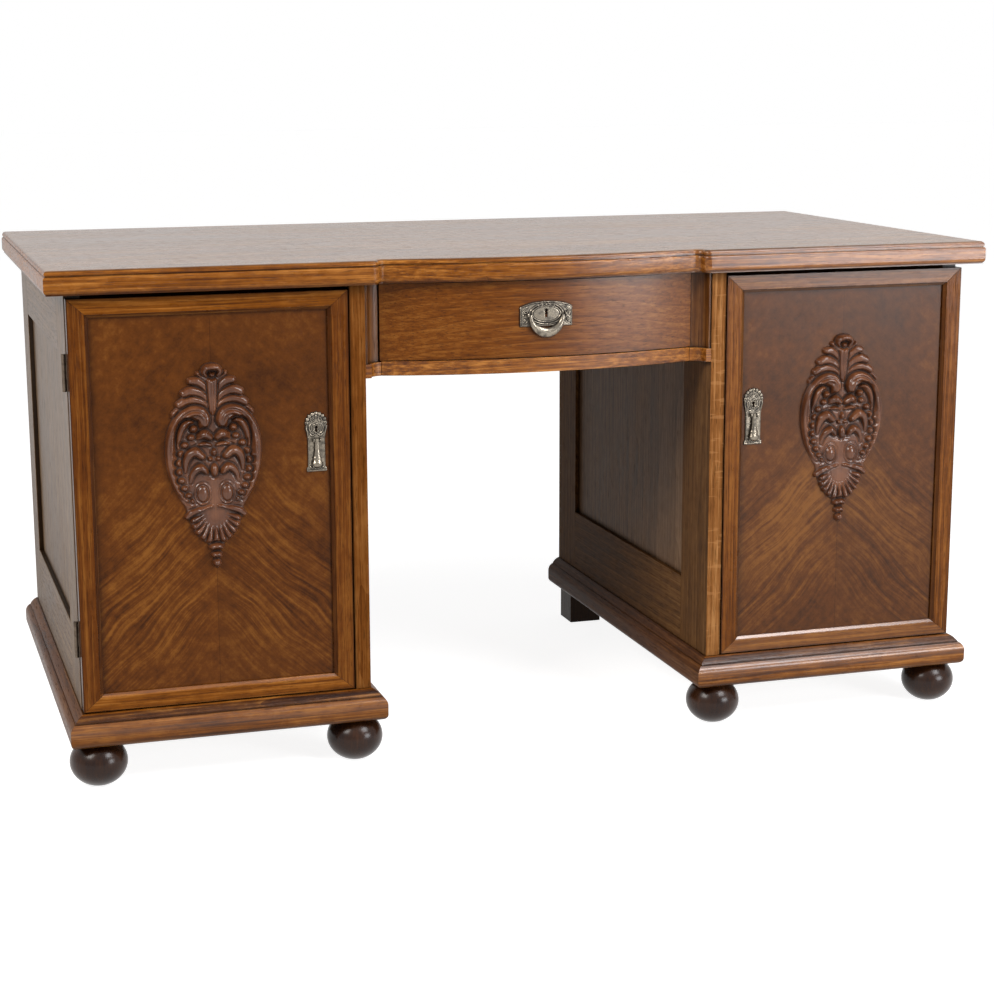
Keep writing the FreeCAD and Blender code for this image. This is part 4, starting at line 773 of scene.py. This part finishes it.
class Relief:
    """A carved surface: its height, in millimetres, at each place of a grid.

    The grid covers both halves, and a cut made at a distance from the middle line is made on
    both sides of it. Each shape laid on the ground has a narrow valley cut round it, down to
    the floor.
    """

    def __init__(self, half_width, height, pitch, floor):
        steps = math.ceil(half_width / pitch) + 1
        self.floor = floor
        self.across = np.arange(-steps, steps + 1) * pitch
        self.up = np.arange(-1, math.ceil(height / pitch) + 2) * pitch
        self.x, self.z = np.meshgrid(np.abs(self.across), self.up)
        self.rise = np.zeros_like(self.x)

    def ground(self, outline, thick, edge):
        """A flat ground whose half width follows the height, with a rounded edge."""
        heights, half_widths = np.asarray(outline, float).T
        inside = (np.interp(self.z, heights, half_widths) - self.x) / edge
        rounded = np.sqrt(1 - (1 - np.clip(inside, 0, 1)) ** 2)
        rounded[(self.z < heights[0]) | (self.z > heights[-1])] = 0
        self.rise = np.maximum(self.rise, thick * rounded)

    def lay(self, near, beyond, height, valley=1.6):
        """Puts a shape over what is there: near picks the grid's places, and beyond is how far
        outside the shape's edge each of them lies."""
        under = np.minimum(self.rise[near], self.floor + np.clip(beyond, 0, None) * valley)
        self.rise[near] = np.maximum(under, height)

    def leaf(self, route, widths, rises, flutes=0, depths=(0.3,), crown=0.5, valley=1.6):
        """A leaf along a route. Half widths, heights and groove depths follow the route, and
        the height falls off to the sides as a power of one less the squared distance."""
        line = smooth_route(route)
        share = np.linspace(0, 1, len(line))
        width, rise, depth = (np.interp(share, np.linspace(0, 1, len(row)), row)
                              for row in (widths, rises, depths))
        reach = width.max() + 4
        near = ((self.x > line[:, 0].min() - reach) & (self.x < line[:, 0].max() + reach)
                & (self.z > line[:, 1].min() - reach) & (self.z < line[:, 1].max() + reach))
        x, z = self.x[near], self.z[near]
        gap = np.hypot(x[:, None] - line[:, 0], z[:, None] - line[:, 1]) / width
        best = gap.argmin(1)
        gap = gap[np.arange(len(best)), best]
        heading = np.gradient(line, axis=0)[best]
        offset = np.stack([x, z], 1) - line[best]
        turn = np.sign(heading[:, 0] * offset[:, 1] - heading[:, 1] * offset[:, 0])
        height = rise[best] * np.clip(1 - gap ** 2, 0, 1) ** crown
        if flutes:
            ridge = np.abs(np.sin(math.pi * flutes * (gap * turn + 1) / 2))
            height = height * (1 - depth[best] * (1 - ridge) * np.clip(1 - gap ** 4, 0, 1))
        self.lay(near, (gap - 1) * width[best], height, valley)

    def dome(self, x, z, wide, tall, rise, base=0.0):
        """An egg shape: the height over its base is the square root of one less the squared
        distance in half widths."""
        gap = np.hypot((self.x - x) / wide, (self.z - z) / tall)
        height = base + (rise - base) * np.sqrt(np.clip(1 - gap ** 2, 0, 1))
        self.lay(..., (gap - 1) * min(wide, tall), np.where(gap < 1, height, 0))

    def hoop(self, x, z, wide, tall, thick, rise):
        """An oval ring with a rounded section."""
        gap = np.abs(np.hypot((self.x - x) / wide, (self.z - z) / tall) - 1) * min(wide, tall)
        height = rise * np.sqrt(np.clip(1 - (gap / thick) ** 2, 0, 1))
        self.lay(..., gap - thick, height)

    def dish(self, x, z, wide, tall, middle, rim):
        """A hollow that rises as the square of the distance from its middle to its rim."""
        gap = np.hypot((self.x - x) / wide, (self.z - z) / tall)
        self.rise = np.where(gap < 1, middle + (rim - middle) * gap ** 2, self.rise)

    def keyhole(self, top, eye, bottom, slot):
        """Cuts a keyhole: a round eye of one radius over a slot of one half width."""
        cut = np.hypot(self.x, self.z - top) < eye
        cut |= (self.x < slot) & (self.z > bottom) & (self.z < top)
        self.rise[cut] = 0

    def smoothed(self, passes):
        """The heights after some passes of a small blur."""
        rise = self.rise
        for _ in range(passes):
            rise = np.pad(rise, 1, mode="edge")
            rise = (rise[:-2] + 2 * rise[1:-1] + rise[2:]) / 4
            rise = (rise[:, :-2] + 2 * rise[:, 1:-1] + rise[:, 2:]) / 4
        return rise

    def mesh(self, name, middle, face, low, material, passes=2, wall=0.3, reach=30, deepest=3.0):
        """A closed mesh: the carved front, a flat back on the face and a thin wall between.

        Its attribute "hollow" is how far each place lies under the average round it, which
        more passes of blur give (reach), as a share of the deepest hollow.
        """
        kept = self.rise > 1e-6
        kept = kept[:-1, :-1] | kept[1:, :-1] | kept[:-1, 1:] | kept[1:, 1:]
        rise = self.smoothed(passes)
        hollow = np.clip((self.smoothed(passes + reach) - rise) / deepest, 0, 1)
        rows, columns = rise.shape
        count = rows * columns
        number = np.arange(count).reshape(rows, columns)
        corners = (number[:-1, :-1], number[:-1, 1:], number[1:, 1:], number[1:, :-1])
        front = np.stack([corner[kept] for corner in corners], -1)
        around = np.pad(kept, 1)
        i, j = np.nonzero(around[1:, 1:-1] != around[:-1, 1:-1])
        level_sides = np.stack([number[i, j], number[i, j + 1]], -1)
        i, j = np.nonzero(around[1:-1, 1:] != around[1:-1, :-1])
        upright_sides = np.stack([number[i, j], number[i + 1, j]], -1)
        sides = np.concatenate([level_sides, upright_sides])
        walls = np.concatenate([sides, sides[:, ::-1] + count], 1)
        faces = np.concatenate([front, front[:, ::-1] + count, walls])
        x, z = np.meshgrid(self.across, self.up)
        points = np.concatenate([
            np.stack([middle + x * mm, face - np.maximum(rise, wall) * mm, low + z * mm],
                     -1).reshape(-1, 3),
            np.stack([middle + x * mm, np.full_like(x, face), low + z * mm], -1).reshape(-1, 3)])
        used, faces = np.unique(faces, return_inverse=True)
        mesh = bpy.data.meshes.new(name)
        mesh.from_pydata(points[used].tolist(), [], faces.reshape(-1, 4).tolist())
        shade = mesh.attributes.new("hollow", "FLOAT", "POINT")
        depth = np.concatenate([hollow.ravel(), np.zeros(count)])[used]
        shade.data.foreach_set("value", depth.astype(np.float32))
        mesh.materials.append(material)
        even_out(mesh, 80)
        return mesh


def carved_finish(name, tones, rough, index):
    """Dark stain, darker in the hollows with gathered stain and painted shade, rubbed thin on what
    stands proud.
    """
    finish = Finish(name)
    spot = finish.place()
    grain = finish.noise(finish.stretched(spot, (420, 420, 30)), 1.0, 3.0)
    cloud = finish.noise(spot, 34.0, 3.0)
    hollow = finish.hollow()
    colour = finish.graded(cloud * 0.7 + grain * 0.3, (0.25, 0.5, 0.8), tones)
    # The hollows darker still: stain that has gathered there, and painted shade
    colour = finish.blend(hollow.ramp(0.0, 0.8) * 0.85, colour, toned(tones[0], 0.25))
    return finish.surface({
        "Base Color": colour, "Roughness": hollow * 0.6 + cloud * 0.1 + (rough - 0.05),
        "IOR": index}, grain, 0.15, 0.0004)


carving = Relief(74, 309, 0.85, floor=1.6)
carving.ground(((0, 2), (26, 3), (34, 9), (44, 22), (57, 33), (75, 40), (94, 44), (113, 55),
                (132, 63), (150, 67), (188, 67), (207, 63), (226, 56), (245, 46), (264, 36),
                (283, 24), (296, 11), (304, 4)), 4.6, 4)
# Shell: short ribs round a smooth hollow, under a rolled rim that ends in two wings
carving.dish(0, 90, 38, 46, 3.0, 5.5)
for angle in np.radians((6, 22, 37, 51, 64, 77, 90)):
    far = 39 + 12 * math.sin(angle) ** 2
    tip = np.array((math.cos(angle), -math.sin(angle)))
    carving.leaf((0, 88) + np.outer((far * 0.46, far * 0.7, far - 5), tip), (1.4, 3.8, 5.9),
                 (4.4, 8.5, 10.5), crown=0.6, valley=5)
carving.leaf(((5, 94), (14, 93), (24, 90), (36, 86), (43, 80)), (2.4, 3.4, 4.4, 5.0, 4.0),
             (8, 9.5, 11.5, 12, 10), flutes=2, depths=(0.0, 0.2, 0.4))
# Drop of three beads
for z, wide, tall, rise in ((32, 12.0, 6.6, 14), (19.3, 9.0, 6.2, 13), (7.4, 6.8, 6.4, 12)):
    carving.dome(0, z, wide, tall, rise)
# Palmette: soft lobes, a fluted stem, and a leaf tip rolled over it
for route, widths in (
        (((9, 233), (26, 242), (43, 243), (56, 234)), (3, 6.0, 7.5, 6.0)),
        (((5, 243), (19, 252), (36, 255), (49, 249)), (3, 6.2, 7.8, 6.2)),
        (((5, 253), (17, 264), (31, 268.5), (42, 265)), (3, 6.0, 7.6, 6.2)),
        (((5, 265), (13, 276), (22, 282.5), (31, 283)), (3, 5.4, 6.8, 5.4)),
        (((4, 278), (9, 287), (15, 292), (20, 294)), (2.4, 4.0, 4.6, 3.6))):
    carving.leaf(route, widths, (8, 8.5, 10, 9.5), flutes=2, depths=(0.3, 0.25, 0.1, 0.0),
                 valley=3.2)
carving.leaf(((0, 295), (0, 280), (0, 262), (0, 236)), (10, 8.5, 7.5, 5.5), (13, 11.5, 10.5, 9),
             flutes=3, depths=(0.2, 0.45, 0.45), valley=3.2)
carving.dome(0, 296.0, 7.5, 8.5, 15.5)
carving.leaf(((0, 304), (8, 302.5), (12, 296.5), (8.5, 290)), (5.6, 5.2, 4.2, 2.6), (17, 16, 13, 9))
# Scrolls: each starts as a fat bulb by the middle line and sweeps out and down
carving.leaf(((14.5, 218), (13.5, 226), (19, 234), (30, 236), (42, 230), (52, 218), (59, 202),
              (62.5, 184), (63, 165), (61, 147), (56, 129), (49, 114), (42, 104)),
             (8.0, 10.2, 11.6, 12.0, 12.0, 11.8, 11.0, 10.0, 8.6, 7.4, 6.4, 5.2, 3.6),
             (16, 18, 18.5, 18, 17, 16.5, 16, 14.5, 13, 11.5, 10, 8, 6),
             flutes=3, depths=(0.05, 0.25, 0.4, 0.45, 0.45, 0.35, 0.2, 0.05, 0), crown=0.6)
carving.leaf(((30, 213), (35, 220), (43.5, 217.5), (49.5, 206), (52, 190), (52, 173)),
             (5.4, 6.4, 5.8, 4.8, 3.6, 2), (13, 15.5, 14, 12, 9, 6.5))
carving.dome(29.5, 212, 6.6, 6.2, 15)
# Leaf tips that curl forward between the scrolls, over a thin lip
carving.leaf(((4, 186.5), (14, 189), (27, 186)), (2.6, 3.6, 2.2), (8.5, 10.5, 8), crown=0.7)
carving.leaf(((5.5, 199), (13.5, 203.5), (24, 199.5)), (6.2, 8.2, 5.0), (13, 17, 12), crown=0.7)
# Pearls
for x, z, wide in ((33.5, 199.5, 6.4), (43.0, 188.5, 6.5), (48.4, 175.6, 6.6), (51.0, 162, 6.6),
                   (51.0, 148.6, 6.5), (49.0, 135.6, 6.3), (45.0, 123.4, 6.0), (39.4, 112.6, 5.7),
                   (32.4, 103.8, 5.2)):
    carving.dome(x, z, wide, wide * 0.8, 5 + wide)
# Curled leaves, the buds and the drop between them
carving.leaf(((43.0, 148), (42.0, 161), (37.5, 173), (28, 178), (18, 170.5)),
             (3.0, 5.2, 7.6, 8.2, 6.4), (6, 10, 14, 16, 14), flutes=2,
             depths=(0.3, 0.25, 0.0, 0.0), crown=0.6)
carving.leaf(((36, 131), (33.5, 142), (28, 150), (20, 153.5), (12, 147)),
             (2.8, 4.4, 6.2, 6.8, 5.2), (6, 9.5, 13, 14.5, 13), flutes=2,
             depths=(0.3, 0.25, 0.0, 0.0), crown=0.6)
carving.dome(5.6, 166, 4.0, 4.0, 12)
carving.dome(0, 176, 4.6, 6.4, 11.5)
carving.dome(0, 149, 6.4, 11, 13)
# Oval cushions in rings
carving.hoop(18.5, 113.5, 11.2, 15.2, 1.8, 8.0)
carving.dome(18.5, 113.5, 8.8, 12.6, 9.0, 3.0)

carving_tones = ((0.040, 0.012, 0.004), (0.092, 0.030, 0.011), (0.182, 0.068, 0.027))
carving_stain = carved_finish("carving_stain", carving_tones, 0.15, 1.40)
for hand in ("left", "right"):
    node = f"{hand}_door_carving"
    (_, _, low), (_, face, _) = span(node)
    mesh = carving.mesh(f"{hand}_cartouche", middle_of(node), face, low, carving_stain)
    settle(link(f"{hand}_cartouche", mesh), node)


# Posts and rail of the drawer's case: oak posts with a rounded outer corner stand on blocks,
# and a bowed oak rail runs between the blocks under the drawer.

post_oak = oak("post_oak", "Z", deep, 0.30, 1.30)
rail_oak = oak("rail_oak", "X", warm, 0.28, 1.34, figure=1.3, shift=(0.7, 0.4, 0.3))
softened("corner_posts", post_oak)
softened("post_base_blocks", rail_oak)
softened("drawer_rail", rail_oak, 0.0008)


# Drawer: a bowed oak front with its grain across, and plain sides, back and bottom joined
# behind it.

def right_of_the_middle(parts):
    """Polish on the right, less worn half of the drawer and of the slab's edge."""
    return parts["X"].ramp(-0.10, 0.30) * 0.5


drawer_tones = ((0.044, 0.011, 0.001), (0.120, 0.034, 0.003), (0.226, 0.083, 0.014))
front_oak = oak("drawer_front_oak", "X", drawer_tones, 0.30, 1.21, figure=0.75,
                polish=right_of_the_middle, shift=(1.4, 0.9, 0.5))
softened("drawer_front", front_oak, 0.0006)
softened("drawer_sides", plain["Y"], 0.0008)
softened("drawer_back", plain["X"], 0.0008)
softened("drawer_bottom", plain["X"])


# Door handles: a cast plate of silvered brass with a chased, beaded head, pinned on each door,
# and a heavy drop that hangs from a pin between two ears. Dirt has stayed in the chasing.

def old_silver(name, chased):
    """Silvered brass, bright where fingers rub it, nearly black in the hollows, with painted shade
    where parts stand close.
    """
    finish = Finish(name)
    spot = finish.place()
    cloud = finish.noise(spot, 120.0, 4.0)
    speck = finish.noise(spot, 900.0, 2.0)
    dirt_and_shade = cloud.ramp(0.40, 0.72) * 0.75
    if chased:
        dirt_and_shade = dirt_and_shade.most(finish.hollow().ramp(0.0, 0.20))
    # Painted shade, with some dirt, where other surfaces stand close: round the relief and under the
    # bail
    dirt_and_shade = dirt_and_shade.most(finish.nooks(0.004, 0.25, 0.65))
    colour = finish.blend(dirt_and_shade, (0.215, 0.185, 0.145), (0.008, 0.006, 0.004))
    return finish.surface({
        "Base Color": colour, "Metallic": 1.0 - dirt_and_shade * 0.5,
        "Roughness": dirt_and_shade * 0.35 + speck * 0.1 + 0.16}, cloud + speck * 0.5, 0.3, 0.0003)


silver = old_silver("old_silver", True)
silver_smooth = old_silver("rubbed_silver", False)


def rod(start, end, radius, around=20):
    """A round silver bar: a circle about each of two points, square to the line between them."""
    start, end = Vector(start), Vector(end)
    heading = (end - start).normalized()
    side = heading.orthogonal().normalized()
    other = heading.cross(side)
    angle = np.linspace(0, 2 * math.pi, around, endpoint=False)
    ring = (np.outer(np.cos(angle), side) + np.outer(np.sin(angle), other)) * radius
    return skin("rod", np.stack([np.array(start) + ring, np.array(end) + ring]), silver)


def ear(x, y, z, half_width, stem, face):
    """An ear for a pin: a disc on a stem that stands on the plate, a millimetre into it."""
    return [rod((x - half_width, y, z), (x + half_width, y, z), 0.0034),
            rod((x, y, z), (x, face - 0.001, z), stem)]


plate_relief = Relief(17, 91, 0.4, floor=1.9)
plate_relief.ground(((0, 15.6), (5, 15.6), (7, 13.6), (50, 13.4), (56, 14.6), (62, 15.9), (72, 15.9),
                     (78, 14.2), (84, 11.0), (88, 6.5), (89.5, 1)), 2.2, 1.0)
for turn in np.linspace(0, math.pi / 2, 5):
    plate_relief.dome(14.2 * math.cos(turn), 74 + 14.2 * math.sin(turn), 3.1, 3.1, 3.6, 1.2)
plate_relief.leaf(((14.8, 72), (15.2, 66), (13.6, 60), (12.3, 52)), (1.1, 1.7, 1.6, 0.9),
                  (2.8, 3.6, 3.4, 2.8))
plate_relief.leaf(((12.3, 52), (12.4, 30), (12.4, 10)), (0.8,), (2.9,))
plate_relief.hoop(6.0, 79, 2.6, 2.6, 0.9, 3.4)
plate_relief.dome(6.0, 79, 1.1, 1.1, 3.0, 1.9)
plate_relief.dome(0, 83.5, 1.8, 3.0, 3.5, 1.9)
plate_relief.hoop(0, 66, 5.0, 6.6, 1.0, 3.5)
plate_relief.leaf(((7.5, 73), (10.5, 68), (9.2, 61), (5.5, 58)), (1.2, 1.8, 1.6, 0.9),
                  (2.8, 3.6, 3.5, 2.7))
plate_relief.leaf(((1.5, 57), (6.5, 54.5), (10, 57.5)), (1.2, 1.7, 0.9), (2.8, 3.6, 2.8))
for bead_x in (0, 4.6, 9.2):
    plate_relief.dome(bead_x, 6.6, 1.7, 1.9, 3.6, 1.9)
plate_relief.leaf(((0, 11), (7, 11), (12.5, 11)), (0.7,), (2.9,))
plate_relief.leaf(((0, 1.9), (8, 1.9), (14.5, 1.9)), (1.1,), (3.1,))
plate_relief.keyhole(67, 2.4, 60.5, 1.5)

# Drop: a flattened neck that swells into a bulb with a collar over it. Each level is half an
# ellipse in front and half a flatter one behind
drop_length, drop_over_pin, drop_back = 0.0446, 0.0026, 2.6 * mm
fall = np.linspace(0, 1, 60)
swell_shares = (0, 0.12, 0.38, 0.60, 0.66, 0.72, 0.84, 0.94, 1)
half_width = np.interp(fall, swell_shares, (3.6, 3.4, 3.7, 5.2, 6.6, 6.2, 8.4, 7.4, 1.0)) * mm
front_rise = np.interp(fall, swell_shares, (2.8, 2.2, 2.4, 3.2, 4.2, 3.8, 6.0, 5.0, 1.0)) * mm
angle = np.linspace(0, 2 * math.pi, 40, endpoint=False)
ear_off, pin_reach, pin_radius = 0.0053, 0.0063, 0.0014
joint_at = {joint["name"]: joint.get("pos_m") for joint in frame["record"]["behaviour"]["joints"]}
for hand in ("left", "right"):
    middle, swing_y, swing_z = joint_at[f"{hand}_drop_swing"]
    (_, _, low), (_, face, _) = span(f"{hand}_handle_plate")
    pieces = [plate_relief.mesh(f"{hand}_plate", middle, face, low, silver, 1, reach=10,
                                deepest=0.9)]
    for x in (middle - ear_off, middle + ear_off):
        pieces += ear(x, swing_y, swing_z, 0.0010, 0.0016, face)
    pieces.append(rod((middle - pin_reach, swing_y, swing_z),
                      (middle + pin_reach, swing_y, swing_z), pin_radius))
    settle(joined(f"{hand}_chased_plate", pieces), f"{hand}_handle_plate")
    drop = np.empty((len(fall), len(angle), 3))
    drop[..., 0] = middle + np.outer(half_width, np.cos(angle))
    thick = np.where(np.sin(angle) > 0, front_rise[:, None], drop_back)
    drop[..., 1] = swing_y - thick * np.sin(angle)
    drop[..., 2] = swing_z + drop_over_pin - fall[:, None] * drop_length
    settle(link(f"{hand}_drop", skin("drop", drop, silver_smooth)), f"{hand}_drop_handle")


# Drawer handle: a broader plate of the same casting, curved to the drawer, with an oval rim
# round its keyhole and a crescent bail that hangs between two ears.

(_, front_face, _), (front_half_width, _, _) = span("drawer_front")
front_bow = 0.036    # how far the middle of the front stands before its ends
bow_radius = (front_half_width ** 2 + front_bow ** 2) / (2 * front_bow)
bail_relief = Relief(43, 39, 0.4, floor=1.7)
# The plate's upper edge falls away from its middle as a power of the distance
arched = np.clip(38.5 - 9 * (bail_relief.x / 42.5) ** 1.7 - bail_relief.z, 0, 1)
bail_relief.rise = 2.2 * arched * (bail_relief.x < 42.4) * (bail_relief.z > 0)
bail_relief.leaf(((41, 1), (41, 15), (41, 29)), (1.3,), (3.2,))
bail_relief.leaf(((40, 30), (30, 33.6), (18, 36.2), (0, 37.4)), (1.3, 1.4, 1.4, 1.4),
                 (3.2, 3.4, 3.4, 3.4))
bail_relief.hoop(0, 19, 27, 15.6, 1.2, 3.6)
bail_relief.hoop(0, 19, 23, 12.2, 1.0, 3.3)
for x, z, size in ((34, 24, 2.6), (34.5, 10, 2.8), (37, 17, 1.8), (31, 29, 1.8), (0, 32.9, 2.0),
                   (6.5, 32.6, 1.6), (12.5, 31.4, 1.4)):
    bail_relief.dome(x, z, size, size, 1.9 + size * 0.7, 1.7)
for curl in (((30, 22), (34, 20), (36, 24), (32, 27)), ((38, 4), (34, 4.5), (31, 8), (32, 13))):
    bail_relief.leaf(curl, (0.9, 1.2, 1.2, 0.8), (3.0, 3.4, 3.4, 2.6))
bail_relief.keyhole(24, 2.5, 13.5, 1.7)
(_, _, low), _ = span("drawer_handle_plate")
bail_plate = bail_relief.mesh("bail_plate", 0, front_face, low, silver, 1, reach=10, deepest=0.9)
places = places_of(bail_plate)
places[:, 1] += bow_radius - np.sqrt(bow_radius ** 2 - places[:, 0] ** 2)
bail_plate.vertices.foreach_set("co", places.ravel())
_, bail_y, bail_z = joint_at["bail_swing"]
pieces = [bail_plate]
for x in (-0.0305, 0.0305):
    pieces += ear(x, bail_y, bail_z, 0.0013, 0.0018, front_face)
settle(joined("chased_drawer_plate", pieces), "drawer_handle_plate")

# Bail: half an ellipse hung between the ears, thickest at its bottom. Its section is half an
# ellipse in front and half a flatter one behind
bail_reach, bail_hang, bail_back = 0.0262, 0.0276, 2.3 * mm
sweep = np.linspace(0, math.pi, 73)
angle = np.linspace(0, 2 * math.pi, 28, endpoint=False)
belly = np.sin(sweep)
half_thick = (2.5 + 4.9 * belly ** 1.3) * mm
front_rise = (2.4 + 2.0 * belly) * mm
centre = np.stack([-bail_reach * np.cos(sweep), bail_z - bail_hang * belly], 1)
run = np.gradient(centre, axis=0)
run /= np.linalg.norm(run, axis=1)[:, None]
section = half_thick[:, None] * np.cos(angle)
bail = np.empty((len(sweep), len(angle), 3))
bail[..., 0] = centre[:, :1] + run[:, 1:] * section
bail[..., 2] = centre[:, 1:] - run[:, :1] * section
thick = np.where(np.sin(angle) > 0, front_rise[:, None], bail_back)
bail[..., 1] = bail_y - thick * np.sin(angle)
settle(link("crescent_bail", skin("crescent_bail", bail, silver_smooth)), "drawer_bail")


# Desk top: a thick oak slab, straight over the pedestals and bowed over the drawer, with a
# moulding run round its front and sides.

slab_low, slab_top = (corner[2] for corner in span("desk_top"))


def upper_face(parts):
    """1 on the slab's upper face, 0 on its moulded edge."""
    return (parts["Z"] - (slab_top - 0.0012)).ramp(-0.0006, 0.0006)


def rubbed_varnish(parts):
    """What is left of the varnish on the upper face, and on the right of the edge."""
    return (upper_face(parts) * 0.24).most(right_of_the_middle(parts) * (1 - upper_face(parts)))


def slab_shade(parts):
    """The dark lower arris of the edge, and the fine line where the edge meets the top."""
    low = (slab_low + 0.004 - parts["Z"]).ramp(0, 0.0035)
    return low.most((1 - abs(parts["Z"] - (slab_top - 0.0018)).ramp(0.0002, 0.0009)) * 0.6)


# The upper face is the same oak as the edge: its duller, greyer tones are painted shade and sheen
face_tones = ((0.060, 0.026, 0.008), (0.138, 0.063, 0.024), (0.248, 0.129, 0.056))
top_oak = oak("top_oak", "X", warm, 0.27, 1.24, figure=1.2, joints_and_shade=slab_shade,
              elsewhere=(upper_face, face_tones), polish=rubbed_varnish)
softened("desk_top", top_oak, 0.0002)
